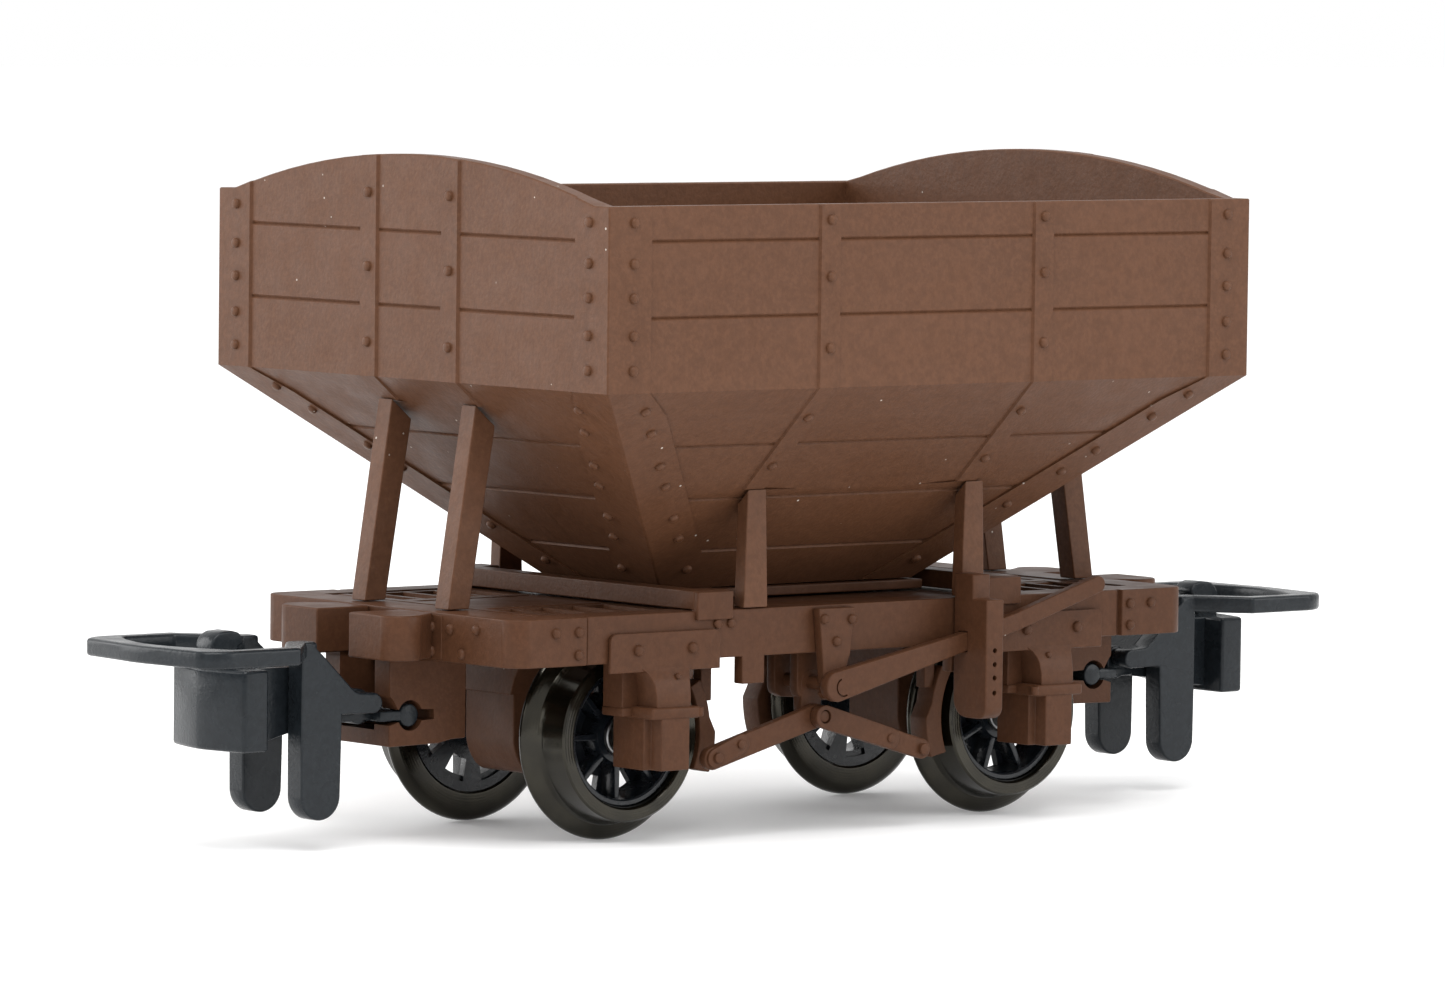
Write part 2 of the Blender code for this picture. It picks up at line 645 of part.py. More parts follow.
def make_coupler_hooks():
    """Coupler hooks: boss and shank held in the pocket, pivot lug, buffing block and hook."""
    between_arms = ARM_INNER_Y - GAP
    boss_end = POCKET_HALF_WIDTH - 0.06
    boss = rod("Y", (BOSS_X, BOSS_Z), BOSS_RADIUS, -boss_end, boss_end)
    hook = solid("hook", boss, "coupler_plastic")
    face = [(BLOCK_X[0], BUFFING_HALF_WIDTH)]
    for i in range(6):
        y = BUFFING_HALF_WIDTH * (1 - i / 5)
        face.append((BLOCK_X[1] + BLOCK_BULGE * (1 - (y / BUFFING_HALF_WIDTH) ** 1.4), y))
    web = [(18.9, SHANK_Z[0]), (21.5, 4.25), (22.4, 4.02), (23.2, 3.95), (23.2, BUFFING_Z[1]),
           (20.4, BUFFING_Z[1]), (18.9, PIVOT_Z)]
    lug = bar_outline((PIVOT_X, PIVOT_Z), (PIVOT_X, 4.9), LUG_RADIUS, LUG_RADIUS)
    crest = [(24.35, 6.6), (24.40, 7.35), (24.15, 7.72), (23.75, 7.94), (23.40, 8.00), (23.10, 7.90),
             (22.90, 7.68), (22.94, 7.45), (23.10, 7.48), (23.26, 7.30), (23.32, 6.6)]
    fuse(hook,
         box((BOSS_X, 17.85), (-boss_end, boss_end), SHANK_Z),
         box((17.8, 19.2), (-between_arms, between_arms), SHANK_Z),
         prism(web, "Y", -HOOK_WEB_HALF_WIDTH, HOOK_WEB_HALF_WIDTH),
         prism(lug, "Y", -between_arms, between_arms),
         prism(both_sides(face), "Z", *BUFFING_Z),
         prism(crest, "Y", -CREST_HALF_WIDTH, CREST_HALF_WIDTH))
    cut(hook, rod("Y", (PIVOT_X, PIVOT_Z), PIN_RADIUS + GAP, -3, 3, 16))
    smooth(hook)
    both_ends(hook, "coupler_hook")

    reach = PIN_HALF_LENGTH
    pin = solid("pin", rod("Y", (PIVOT_X, PIVOT_Z), PIN_RADIUS, -reach, reach, 16), "coupler_plastic")
    smooth(pin)
    both_ends(pin, "coupler_pin")


def loop_outline(outer, inner):
    """A U-shaped outline from its outer and inner halves, each running from the back to the middle."""
    def other_side(points):
        return [(x, -y) for x, y in points]
    return outer + other_side(outer)[::-1] + other_side(inner) + inner[::-1]


def make_coupler_loops():
    """Coupler loops: two arms with lifting tails, joined by the loop that rides over the next hook."""
    outer = [(20.9, ARM_OUTER_Y), (21.45, ARM_OUTER_Y), (23.0, LOOP_HALF_WIDTH)]
    outer += arc((25.85, LOOP_HALF_WIDTH - 1.5), 1.5, 90, 34, 6)
    outer += [(LOOP_END_X - 0.12, 1.4), (LOOP_END_X, 0.4)]
    inner = [(20.9, ARM_INNER_Y), (21.75, ARM_INNER_Y), (23.25, 3.5)]
    inner += arc((25.35, 3.05), 0.45, 90, 15, 4) + [(26.2, 2.2), (26.58, 0.9), (26.66, 0.4)]
    ring = prism(loop_outline(outer, inner), "Z", LOOP_BOTTOM, LOOP_TOP)
    loop = solid("loop", ring, "coupler_plastic")

    tail_radius = (TAIL_X[1] - TAIL_X[0]) / 2
    tail_low = TAIL_BOTTOM + tail_radius
    profile = arc((PIVOT_X, PIVOT_Z), 0.37, 75, 270, 8) + [(TAIL_X[0], PIVOT_Z - 0.35)]
    profile += arc((TAIL_X[0] + tail_radius, tail_low), tail_radius, 180, 360, 8)
    profile += [(TAIL_X[1], LOOP_TOP), (21.20, LOOP_TOP), (20.65, 7.12), (20.05, 6.55), (19.40, 5.92),
                (19.10, 5.70)]
    fuse(loop, *[prism(profile, "Y", *mirrored_pair((ARM_INNER_Y, ARM_OUTER_Y), side)) for side in (1, -1)])
    cut(loop, rod("Y", (PIVOT_X, PIVOT_Z), PIN_RADIUS + RUNNING_CLEARANCE, -3, 3, 16))
    smooth(loop)
    for side, piece in zip((1, -1), both_ends(loop, "coupler_loop")):
        hang_on([piece], f"{piece.name}_pivot", side * PIVOT_X, PIVOT_Z)


# ---------------------------------------------------------------- brake gear

def make_brake_lever():
    """Hanger, cross shaft with its crank, lever and lever guide of the -Y side."""
    x, z = LEVER_PIVOT
    hanger = [(x - 0.62, 8.45), (x - 0.30, 5.35)] + arc((x, z - 0.15), 0.42, 205, 335, 5)
    hanger += [(x + 0.90, 6.75), (x + 1.12, 8.45)]
    plate = solid("hanger", prism(hanger, "Y", -HANGER_FACE_Y, -FRAME_HALF_WIDTH - GAP), "brown_plastic")
    cut(plate, rod("Y", LEVER_PIVOT, SHAFT_RADIUS + GAP, -9, -5))
    both_brakes(plate, "brake_hanger")

    far, near = (-y for y in LEVER_FACES_Y)
    shaft = rod("Y", LEVER_PIVOT, SHAFT_RADIUS, near + GAP / 2, -BRACKET_Y[0])
    crank = solid("crank", shaft, "brown_plastic")
    bracket = [(x - 0.68, FRAME_BOTTOM - GAP), (x - 0.66, z - 0.35), (x - 0.30, z - 0.62),
               (x + 0.75, z - 0.70), (x + 0.75, FRAME_BOTTOM - GAP)]
    fuse(crank, prism(bar_outline(LEVER_PIVOT, ROD_PIVOT, 0.52, 0.45), "Y", -CRANK_Y[1], -CRANK_Y[0]),
         prism(bracket, "Y", -CRANK_Y[1], -CRANK_Y[0]), prism(bracket, "Y", -BRACKET_Y[1], -BRACKET_Y[0]),
         rod("Y", ROD_PIVOT, ROD_PIN_RADIUS, -OUTER_ROD_Y[1], -CRANK_Y[0], 16))
    smooth(crank)
    both_brakes(crank, "brake_crank")

    half = LEVER_HEIGHT / 2
    bends = LEVER_ROUTE[1:-1]
    upper = [(px, pz + half) for px, pz in bends]
    lower = [(px, pz - half) for px, pz in bends]
    outline = arc((LEVER_PIVOT[0] - 0.02, LEVER_PIVOT[1] - 0.05), LEVER_END_RADIUS, 105, 285, 10) + lower
    outline += arc(LEVER_ROUTE[-1], half - 0.03, -65, 105, 6) + upper[::-1]
    lever = solid("lever", prism(outline, "Y", near, far), "brown_plastic")
    cut(lever, rod("Y", LEVER_PIVOT, SHAFT_RADIUS + GAP, -9, -5))
    smooth(lever)
    both_brakes(lever, "brake_lever")

    low, step, high = GUIDE_Z
    front, head, back = -GUIDE_FRONT_Y, -GUIDE_HEAD_Y, -SIDE_POST_Y[1] - GAP
    side = arc((front + 0.45, low + 0.45), 0.45, 180, 270, 4)
    side += arc((back - 0.7, low + 0.7), 0.7, 270, 360, 4)
    side += [(back, high), (head, high), (head, step), (front, step)]
    guide = solid("guide", prism(side, "X", *GUIDE_X), "brown_plastic")
    (start_x, start_z), (end_x, end_z) = bends
    slope = (end_z - start_z) / (end_x - start_x)
    slot_x = (GUIDE_X[0] - 0.5, GUIDE_X[1] + 0.5)
    middle = [start_z + (px - start_x) * slope for px in slot_x]
    reach = half + GAP
    slot = [(slot_x[0], middle[0] - reach), (slot_x[1], middle[1] - reach),
            (slot_x[1], middle[1] + reach), (slot_x[0], middle[0] + reach)]
    cut(guide, prism(slot, "Y", near - GAP, far + GAP))
    smooth(guide)
    both_brakes(guide, "lever_guide")


def make_brake_rods():
    """The two push rods of the -Y side and the shoes they would press on the wheels."""
    ends = {"inner": (INNER_ROD_END, 0.40, INNER_ROD_Y), "outer": (OUTER_ROD_END, 0.33, OUTER_ROD_Y)}
    for stem, (end, end_radius, y) in ends.items():
        bar = prism(bar_outline(ROD_PIVOT, end, 0.42, end_radius), "Y", -y[1], -y[0])
        push_rod = solid("rod", bar, "brown_plastic")
        cut(push_rod, rod("Y", ROD_PIVOT, ROD_PIN_RADIUS + GAP, -9, -5, 16))
        smooth(push_rod)
        both_brakes(push_rod, f"push_rod_{stem}")

    wheel = (AXLE_X, AXLE_HEIGHT)
    angles = (180 - SHOE_HALF_ANGLE, 180 + SHOE_HALF_ANGLE)
    band = arc(wheel, SHOE_RADII[1], *angles, 8) + arc(wheel, SHOE_RADII[0], *angles[::-1], 8)
    shoe = solid("shoe", prism(band, "Y", *SHOE_Y), "brown_plastic")
    fuse(shoe, box(STRUT_X, STRUT_Y, (STRUT_FOOT, DECK_BOTTOM - GAP)))
    smooth(shoe)
    at_corners(shoe, "brake_shoe")


def build():
    for old in list(bpy.data.objects):
        bpy.data.objects.remove(old)
    make_tub()
    make_frame()
    make_deck()
    make_buffers()
    make_bolsters()
    make_posts()
    make_axleguards()
    make_axle_blocks()
    make_wheelsets()
    make_pockets()
    make_coupler_hooks()
    make_coupler_loops()
    make_brake_lever()
    make_brake_rods()


build()
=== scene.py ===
"""Looks of a narrow-gauge hopper car model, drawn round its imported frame.

Shapes are drawn in millimetres in the frame's own axes (+X along the car, +Z up) and turned into
metres when a mesh is made. Most pieces are drawn once in the +X +Y quarter and mirrored.
"""

import json
import math

import bmesh
import bpy
from mathutils import Matrix, Vector

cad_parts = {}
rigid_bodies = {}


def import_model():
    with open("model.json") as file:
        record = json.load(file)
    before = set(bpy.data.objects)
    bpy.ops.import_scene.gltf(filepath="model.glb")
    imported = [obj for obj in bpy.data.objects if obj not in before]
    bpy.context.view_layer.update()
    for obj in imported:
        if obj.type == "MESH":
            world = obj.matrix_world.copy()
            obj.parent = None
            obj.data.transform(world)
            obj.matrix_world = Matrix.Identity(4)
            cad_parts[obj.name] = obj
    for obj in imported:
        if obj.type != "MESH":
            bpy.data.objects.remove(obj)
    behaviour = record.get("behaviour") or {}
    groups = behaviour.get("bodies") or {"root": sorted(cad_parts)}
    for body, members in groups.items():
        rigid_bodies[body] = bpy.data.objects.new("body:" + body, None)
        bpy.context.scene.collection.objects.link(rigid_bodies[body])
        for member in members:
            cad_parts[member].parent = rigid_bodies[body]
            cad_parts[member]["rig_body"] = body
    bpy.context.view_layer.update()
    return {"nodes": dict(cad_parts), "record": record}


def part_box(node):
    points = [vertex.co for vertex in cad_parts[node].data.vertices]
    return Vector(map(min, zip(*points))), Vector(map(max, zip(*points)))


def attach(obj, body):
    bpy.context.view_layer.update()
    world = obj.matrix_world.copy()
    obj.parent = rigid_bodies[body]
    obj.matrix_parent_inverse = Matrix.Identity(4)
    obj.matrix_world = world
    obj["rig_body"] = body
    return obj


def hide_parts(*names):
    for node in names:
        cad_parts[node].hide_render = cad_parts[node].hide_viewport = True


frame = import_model()

MM = 0.001
SOFT = 0.05                     # radius of a moulded edge
BROWN = "brown_plastic"         # the slot that most pieces take their finish from


def box_mm(node):
    """A node's lowest and highest corners, in millimetres."""
    low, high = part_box(node)
    return low / MM, high / MM


# ---------------------------------------------------------------- materials

SPECULAR = 0.42
COAT_ROUGHNESS = 0.14
GRAIN = 0.012                   # depth of moulded plastic's finest grain
SWELL = GRAIN * 1.6             # depth of the slow waves under it
DUST_DEPTH = 0.02               # how far a speck of dust stands out
LATHE_DEPTH = 0.003             # depth of the rings that turning leaves
PIT_DEPTH = 0.0025              # depth of a turned face's fine unevenness


class Graph:
    """Builds one material's nodes; its textures are read in millimetres on the object itself."""

    def __init__(self, name):
        self.material = bpy.data.materials.new(name)
        self.material.use_nodes = True
        self.tree = self.material.node_tree
        self.shader = self.tree.nodes["Principled BSDF"]
        place = self.tree.nodes.new("ShaderNodeTexCoord").outputs["Object"]
        self.mm = self.scaled(place, (1 / MM, 1 / MM, 1 / MM))

    def feed(self, socket, value):
        if isinstance(value, bpy.types.NodeSocket):
            self.tree.links.new(value, socket)
        else:
            socket.default_value = value

    def scaled(self, vector, scale, turn=(0.0, 0.0, 0.0)):
        node = self.tree.nodes.new("ShaderNodeMapping")
        self.feed(node.inputs["Vector"], vector)
        node.inputs["Scale"].default_value = scale
        node.inputs["Rotation"].default_value = turn
        return node.outputs["Vector"]

    def noise(self, scale, detail=3.0):
        node = self.tree.nodes.new("ShaderNodeTexNoise")
        self.feed(node.inputs["Vector"], self.mm)
        node.inputs["Scale"].default_value = scale
        node.inputs["Detail"].default_value = detail
        return node.outputs["Fac"]

    def step(self, value, low, high, start=0.0, end=1.0):
        """The value's stretch from low to high, spread over start to end and held outside it."""
        node = self.tree.nodes.new("ShaderNodeMapRange")
        self.feed(node.inputs["Value"], value)
        keys = ("From Min", "From Max", "To Min", "To Max")
        for key, number in zip(keys, (low, high, start, end)):
            node.inputs[key].default_value = number
        return node.outputs["Result"]

    def math(self, operation, first, second=0.0):
        node = self.tree.nodes.new("ShaderNodeMath")
        node.operation = operation
        self.feed(node.inputs[0], first)
        self.feed(node.inputs[1], second)
        return node.outputs["Value"]

    def mix(self, share, first, second):
        node = self.tree.nodes.new("ShaderNodeMix")
        node.data_type = "RGBA"
        self.feed(node.inputs["Factor"], share)
        for key, colour in (("A", first), ("B", second)):
            socket = next(s for s in node.inputs if s.name == key and s.type == "RGBA")
            linked = isinstance(colour, bpy.types.NodeSocket)
            self.feed(socket, colour if linked else (*colour, 1.0))
        return next(s for s in node.outputs if s.type == "RGBA")

    def bump(self, height, depth_mm, below=None):
        """Turns a 0 to 1 height into a relief so many millimetres deep."""
        node = self.tree.nodes.new("ShaderNodeBump")
        self.feed(node.inputs["Height"], height)
        node.inputs["Distance"].default_value = depth_mm * MM
        if below:
            self.feed(node.inputs["Normal"], below)
        return node.outputs["Normal"]

    def specks(self, per_mm, radius_mm, share, stretch=(1.0, 1.0, 1.0), turn=(0.0, 0.0, 0.0)):
        """Scattered spots or fibres, 1 on them and 0 elsewhere; share of the cells have one."""
        node = self.tree.nodes.new("ShaderNodeTexVoronoi")
        self.feed(node.inputs["Vector"], self.scaled(self.mm, stretch, turn))
        node.inputs["Scale"].default_value = per_mm
        spot = self.math("LESS_THAN", node.outputs["Distance"], radius_mm * per_mm)
        chosen = self.math("LESS_THAN", node.outputs["Color"], share)
        return self.math("MULTIPLY", spot, chosen)

    def finish(self, colour, roughness, metallic, normal, specular=SPECULAR, coat=0.0):
        self.shader.inputs["Specular IOR Level"].default_value = specular
        self.shader.inputs["Coat Weight"].default_value = coat
        self.shader.inputs["Coat Roughness"].default_value = COAT_ROUGHNESS
        self.feed(self.shader.inputs["Base Color"], colour)
        self.feed(self.shader.inputs["Roughness"], roughness)
        self.feed(self.shader.inputs["Metallic"], metallic)
        self.feed(self.shader.inputs["Normal"], normal)
        return self.material


def moulded_plastic(name, dark, light, roughness, specular, dust_colour, dust_share):
    """Moulded plastic: soft patches of tone, fine grain, and a share of dust specks and fibres."""
    g = Graph(name)
    broad = g.noise(0.22, 4.0)
    fine = g.noise(7.0, 5.0)
    colour = g.mix(g.step(broad, 0.30, 0.70, 0.30, 0.70), dark, light)
    colour = g.mix(g.step(fine, 0.40, 0.62, 0.0, 0.75), colour, light)
    colour = g.mix(g.step(g.noise(3.2, 4.0), 0.42, 0.66, 0.0, 0.55), colour, dark)
    spots = g.specks(1.9, 0.045, dust_share)
    fibres = g.specks(1.1, 0.05, dust_share * 0.55, (0.16, 1.0, 1.0), (0.6, 0.9, 0.4))
    threads = g.specks(0.9, 0.045, dust_share * 0.45, (1.0, 1.0, 0.15), (0.5, 0.4, 0.2))
    dust = g.math("MAXIMUM", spots, g.math("MAXIMUM", fibres, threads))
    dust = g.math("MULTIPLY", dust, g.step(g.noise(0.5, 2.0), 0.42, 0.55))
    colour = g.mix(g.math("MULTIPLY", dust, 0.75), colour, dust_colour)
    rough = g.step(g.noise(0.9, 3.0), 0.3, 0.7, roughness - 0.06, roughness + 0.07)
    rough = g.math("MAXIMUM", rough, g.math("MULTIPLY", dust, 0.85))
    relief = g.bump(g.noise(0.8, 2.0), SWELL)
    relief = g.bump(fine, GRAIN, relief)
    relief = g.bump(dust, DUST_DEPTH, relief)
    return g.finish(colour, rough, 0.0, relief, specular)


def turned_metal(name, dark, light, roughness, metallic, rings_per_mm, coat=0.0):
    """Metal turned on a lathe about a wheelset's axis: fine rings, stained in patches."""
    g = Graph(name)
    node = g.tree.nodes.new("ShaderNodeSeparateXYZ")
    g.feed(node.inputs["Vector"], g.mm)
    from_axle = g.math("SUBTRACT", g.math("ABSOLUTE", node.outputs["X"]), AXLE_X)
    above = g.math("SUBTRACT", node.outputs["Z"], AXLE_HEIGHT)
    squares = g.math("ADD", g.math("POWER", from_axle, 2.0), g.math("POWER", above, 2.0))
    radius = g.math("SQRT", squares)
    wave = g.math("SINE", g.math("MULTIPLY", radius, rings_per_mm * math.tau))
    rings = g.step(g.math("ADD", wave, g.noise(6.0)), -0.6, 1.6)
    stain = g.step(g.noise(0.7, 3.0), 0.30, 0.72)
    colour = g.mix(stain, dark, light)
    rough = g.step(g.math("ADD", g.noise(2.5, 4.0), g.math("MULTIPLY", stain, 0.3)), 0.3, 0.9,
                   roughness - 0.05, roughness + 0.09)
    relief = g.bump(rings, LATHE_DEPTH)
    relief = g.bump(g.noise(9.0, 3.0), PIT_DEPTH, relief)
    return g.finish(colour, rough, metallic, relief, coat=coat)


# ---------------------------------------------------------------- outlines and solids

def arc(centre, radius, start, end, steps):
    """Points along a circular arc, angles in degrees."""
    points = []
    for i in range(steps + 1):
        angle = math.radians(start + (end - start) * i / steps)
        points.append((centre[0] + radius * math.cos(angle), centre[1] + radius * math.sin(angle)))
    return points


def bar_outline(start, end, start_radius, end_radius, steps=10):
    """A round-ended bar between two points, as wide at each end as its radius says."""
    heading = math.degrees(math.atan2(end[1] - start[1], end[0] - start[0]))
    return (arc(end, end_radius, heading - 90, heading + 90, steps)
            + arc(start, start_radius, heading + 90, heading + 270, steps))


def both_sides(half):
    """An outline drawn for Y >= 0, closed by its mirror image across the X axis."""
    return half + [(x, -y) for x, y in reversed(half) if y > 0]


def spread(axis, point, along):
    """A 3-D point from a 2-D outline point and its place along the extrusion axis."""
    a, b = point
    return {"X": (along, a, b), "Y": (a, along, b), "Z": (a, b, along)}[axis]


def loft(rings, capped=True):
    """Skins closed rings of points; each joins the next, and the last the first or a cap."""
    bm = bmesh.new()
    loops = [[bm.verts.new(point) for point in ring] for ring in rings]
    count = len(loops[0])
    pairs = list(zip(loops, loops[1:]))
    if capped:
        bm.faces.new(loops[0])
        bm.faces.new(loops[-1])
    else:
        pairs.append((loops[-1], loops[0]))
    for lower, upper in pairs:
        for i in range(count):
            j = (i + 1) % count
            bm.faces.new((lower[i], lower[j], upper[j], upper[i]))
    bmesh.ops.recalc_face_normals(bm, faces=bm.faces)
    return bm


def softened(bm, width=SOFT, corner=28):
    """Rounds every edge that turns by more than the corner angle."""
    limit = math.radians(corner)
    edges = [e for e in bm.edges if len(e.link_faces) == 2 and e.calc_face_angle() > limit]
    bmesh.ops.bevel(bm, geom=edges, offset=width, segments=2, profile=0.5, affect="EDGES",
                    clamp_overlap=True)
    return bm


def prism(outline, axis, low, high, soft=SOFT):
    """An outline extruded along an axis, its edges softened."""
    bm = loft([[spread(axis, point, along) for point in outline] for along in (low, high)])
    return softened(bm, soft) if soft else bm


def box(x, y, z, soft=SOFT):
    outline = [(x[0], y[0]), (x[1], y[0]), (x[1], y[1]), (x[0], y[1])]
    return prism(outline, "Z", z[0], z[1], soft)


def rod(axis, centre, radius, low, high, segments=32, soft=0.03):
    """A cylinder along an axis, its rims softened; its centre is in the plane across that axis."""
    step = 360 / segments
    return prism(arc(centre, radius, 0, 360 - step, segments - 1), axis, low, high, soft)


def ring_about_y(profile, centre, segments):
    """A closed (radius, y) profile turned about an axis parallel to Y."""
    rings = []
    for radius, y in profile:
        points = arc(centre, radius, 0, 360 - 360 / segments, segments - 1)
        rings.append([(x, y, z) for x, z in points])
    return loft(rings, capped=False)


def domes(places, radius=0.19, height=0.15, segments=14):
    """Round rivet heads as closed caps; a place is a point on a surface and its outward normal."""
    bm = bmesh.new()
    rise = ((1.0, -0.06), (1.0, height * 0.35), (0.88, height * 0.72), (0.60, height * 0.94),
            (0.24, height))         # share of the radius, and height over the surface
    for point, normal in places:
        turn = Vector(normal).to_track_quat("Z", "Y")
        rings = []
        for share, up in rise:
            ring = [turn @ Vector((x, y, up)) + Vector(point)
                    for x, y in arc((0, 0), radius * share, 0, 360 - 360 / segments, segments - 1)]
            rings.append([bm.verts.new(p) for p in ring])
        bm.faces.new(rings[0])
        bm.faces.new(rings[-1])
        for lower, upper in zip(rings, rings[1:]):
            for i in range(segments):
                j = (i + 1) % segments
                bm.faces.new((lower[i], lower[j], upper[j], upper[i]))
    bmesh.ops.recalc_face_normals(bm, faces=bm.faces)
    return bm


def mesh_of(name, bm):
    """Turns a millimetre bmesh into a metre mesh, and frees the bmesh."""
    bmesh.ops.scale(bm, vec=Vector((MM, MM, MM)), verts=bm.verts)
    mesh = bpy.data.meshes.new(name)
    bm.to_mesh(mesh)
    bm.free()
    return mesh


def combined(part, tool_bm, operation):
    """Adds a shape to the part's mesh (UNION) or cuts it away (DIFFERENCE), exactly."""
    tool = bpy.data.objects.new("tool", mesh_of("tool", tool_bm))
    bpy.context.collection.objects.link(tool)
    modifier = part.modifiers.new("combine", "BOOLEAN")
    modifier.operation = operation
    modifier.solver = "EXACT"
    modifier.object = tool
    bpy.context.view_layer.update()
    depsgraph = bpy.context.evaluated_depsgraph_get()
    result = bpy.data.meshes.new_from_object(part.evaluated_get(depsgraph))
    part.modifiers.clear()
    bpy.data.objects.remove(tool)
    part.data = result


def made_of(shapes, cuts=()):
    """One closed mesh: the shapes joined together, less the cuts."""
    part = bpy.data.objects.new("draft", mesh_of("draft", shapes[0]))
    bpy.context.collection.objects.link(part)
    for shape in shapes[1:]:
        combined(part, shape, "UNION")
    for shape in cuts:
        combined(part, shape, "DIFFERENCE")
    mesh = part.data
    bpy.data.objects.remove(part)
    return mesh


# ---------------------------------------------------------------- placing pieces

ENDS = {1: "rear", -1: "front"}
SIDES = {1: "right", -1: "left"}
CORNERS = ((1, 1), (1, -1), (-1, 1), (-1, -1))


def mirrored(mesh, side_x, side_y):
    """A copy of the mesh mirrored across X, Y or both (both together is half a turn)."""
    copy = mesh.copy()
    copy.transform(Matrix.Diagonal((side_x, side_y, 1, 1)))
    if side_x * side_y < 0:
        copy.flip_normals()
    return copy


def show(name, mesh, slot, body, nodes=(), corner=50):
    """Puts a mesh in the scene as a piece that rides on a body and may stand for CAD nodes."""
    mesh.name = name
    mesh.materials.clear()
    # pieces other than the tub and its posts take the darker brown, which paints in the shade under
    # the tub
    mesh.materials.append(TUB_PLASTIC if name.startswith(TUB_PIECES) else MATERIALS[slot])
    mesh.shade_smooth()
    mesh.set_sharp_from_angle(angle=math.radians(corner))
    piece = bpy.data.objects.new(name, mesh)
    bpy.context.collection.objects.link(piece)
    modifier = piece.modifiers.new("even shading", "WEIGHTED_NORMAL")
    modifier.keep_sharp = True
    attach(piece, body)
    if nodes:
        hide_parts(*nodes)


def stand_for(node, mesh, slot, corner=50):
    """Shows a detailed mesh in place of one CAD node, on the same body."""
    show(f"{node}_detailed", mesh, slot, frame["nodes"][node]["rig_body"], [node], corner)


def corner_name(side_x, side_y):
    return f"{ENDS[side_x]}_{SIDES[side_y]}"


def at_corners(stem, mesh, slot, corners=CORNERS, corner=50):
    """Shows a mesh drawn at the rear right corner in each of these corners."""
    for side_x, side_y in corners:
        node = f"{stem}_{corner_name(side_x, side_y)}"
        stand_for(node, mirrored(mesh, side_x, side_y), slot, corner)


def at_ends(stem, mesh, slot):
    """Shows a mesh drawn at the rear end at both ends."""
    for side in (1, -1):
        stand_for(f"{stem}_{ENDS[side]}", mirrored(mesh, side, 1), slot)


def on_brakes(stem, mesh):
    """The brake gear is drawn on the -Y side; the other side is its mirror image."""
    stand_for(f"{stem}_left", mirrored(mesh, 1, 1), BROWN)
    stand_for(f"{stem}_right", mirrored(mesh, 1, -1), BROWN)


def show_heads(name, heads, *size):
    """Shows rivet or bolt heads as one piece of the chassis."""
    show(name, mesh_of(name, domes(heads, *size)), BROWN, "chassis")


def span(low_high, side):
    """A (low, high) span, reflected to the negative side when side is -1."""
    return tuple(sorted(side * value for value in low_high))


# ---------------------------------------------------------------- tub

TUB_LOW, TUB_HIGH = box_mm("hopper_tub")
TUB_LENGTH, TUB_WIDTH = TUB_HIGH.x, TUB_HIGH.y      # half sizes
SIDE_TOP = 23.46
KINK = 16.82
OUTLET = (6.10, 3.33)
WALL = 0.75
ARCH_MARGIN = 0.9
RECESS = 0.09                   # how far the panels lie behind the straps
GROOVE = 0.08
EDGE = 0.03                     # half width of the slope at a strap's edge
SIDE_STRAP = (4.64, 5.60)
END_STRAP = (1.94, 2.94)
CORNER_STRAP = 1.98             # width of the straps at the tub's corners
HIP_STRAP = 2.45                # width of the straps beside the slopes' corners
SIDE_STRAP_END = 12.88
END_STRAP_END = 15.90
UPPER_GROOVES = (22.20, 19.47)
LOWER_GROOVES = (14.70, 12.60, 10.52)
CORNER_RIVETS = (14.22, 10.62)  # from the tub's middle, along a side and along an end
HIP_RIVETS = (1.5, 1.9)         # from the slopes' corners, along a side and along an end
SIDE_RIVETS = 5.12              # from the tub's middle, on the side's strap
END_RIVETS = 2.44               # the same on the end's strap
SLOPE_X = (TUB_LENGTH - OUTLET[0]) / (KINK - TUB_LOW.z)
SLOPE_Y = (TUB_WIDTH - OUTLET[1]) / (KINK - TUB_LOW.z)


def half_size(z):
    """Half length and half width of the tub's outside at a height."""
    down = max(0.0, KINK - z)
    return TUB_LENGTH - SLOPE_X * down, TUB_WIDTH - SLOPE_Y * down


def rim_height(y):
    """Height of the end walls' arched rim."""
    half_span = TUB_WIDTH - ARCH_MARGIN
    rise = TUB_HIGH.z - SIDE_TOP
    radius = (half_span ** 2 + rise ** 2) / (2 * rise)
    if abs(y) >= half_span:
        return SIDE_TOP
    return TUB_HIGH.z - radius + math.sqrt(radius ** 2 - y ** 2)


def wall_stations(size, strap, strap_width):
    """Stations from the middle of a wall to its corner as (place, on a strap or not)."""
    inner = size - strap_width
    stations = [(strap[0] * i / 3, False) for i in range(3)]
    stations += [(strap[0] - EDGE, False), (strap[0] + EDGE, True), (strap[1] - EDGE, True)]
    stations += [(strap[1] + EDGE, False)]
    first = strap[1] + EDGE
    stations += [(first + (inner - EDGE - first) * i / 6, False) for i in range(1, 7)]
    stations += [(inner + EDGE, True), (size - ARCH_MARGIN, True), (size - SOFT, True)]
    return stations


def wall_points(size, full_size, strap, strap_width, strap_on, drop, groove):
    """One level of half a wall, from its middle outwards, as (place, depth below the straps)."""
    points = []
    full_inner = full_size - CORNER_STRAP
    inner = size - strap_width
    for place, raised in wall_stations(full_size, strap, CORNER_STRAP):
        on_corner = place > full_inner
        if on_corner:
            place = size - (full_size - place) * strap_width / CORNER_STRAP
            if full_size - ARCH_MARGIN < place + (full_size - size) < full_size - 2 * SOFT:
                place = size - ARCH_MARGIN * strap_width / CORNER_STRAP
        elif strap_on and place > strap[1]:
            place = strap[1] + (place - strap[1]) * (inner - strap[1]) / (full_inner - strap[1])
        elif not strap_on:
            place = place * inner / full_inner
        flush = on_corner or (raised and strap_on)
        points.append((place, 0.0 if flush else drop + groove))
    return points


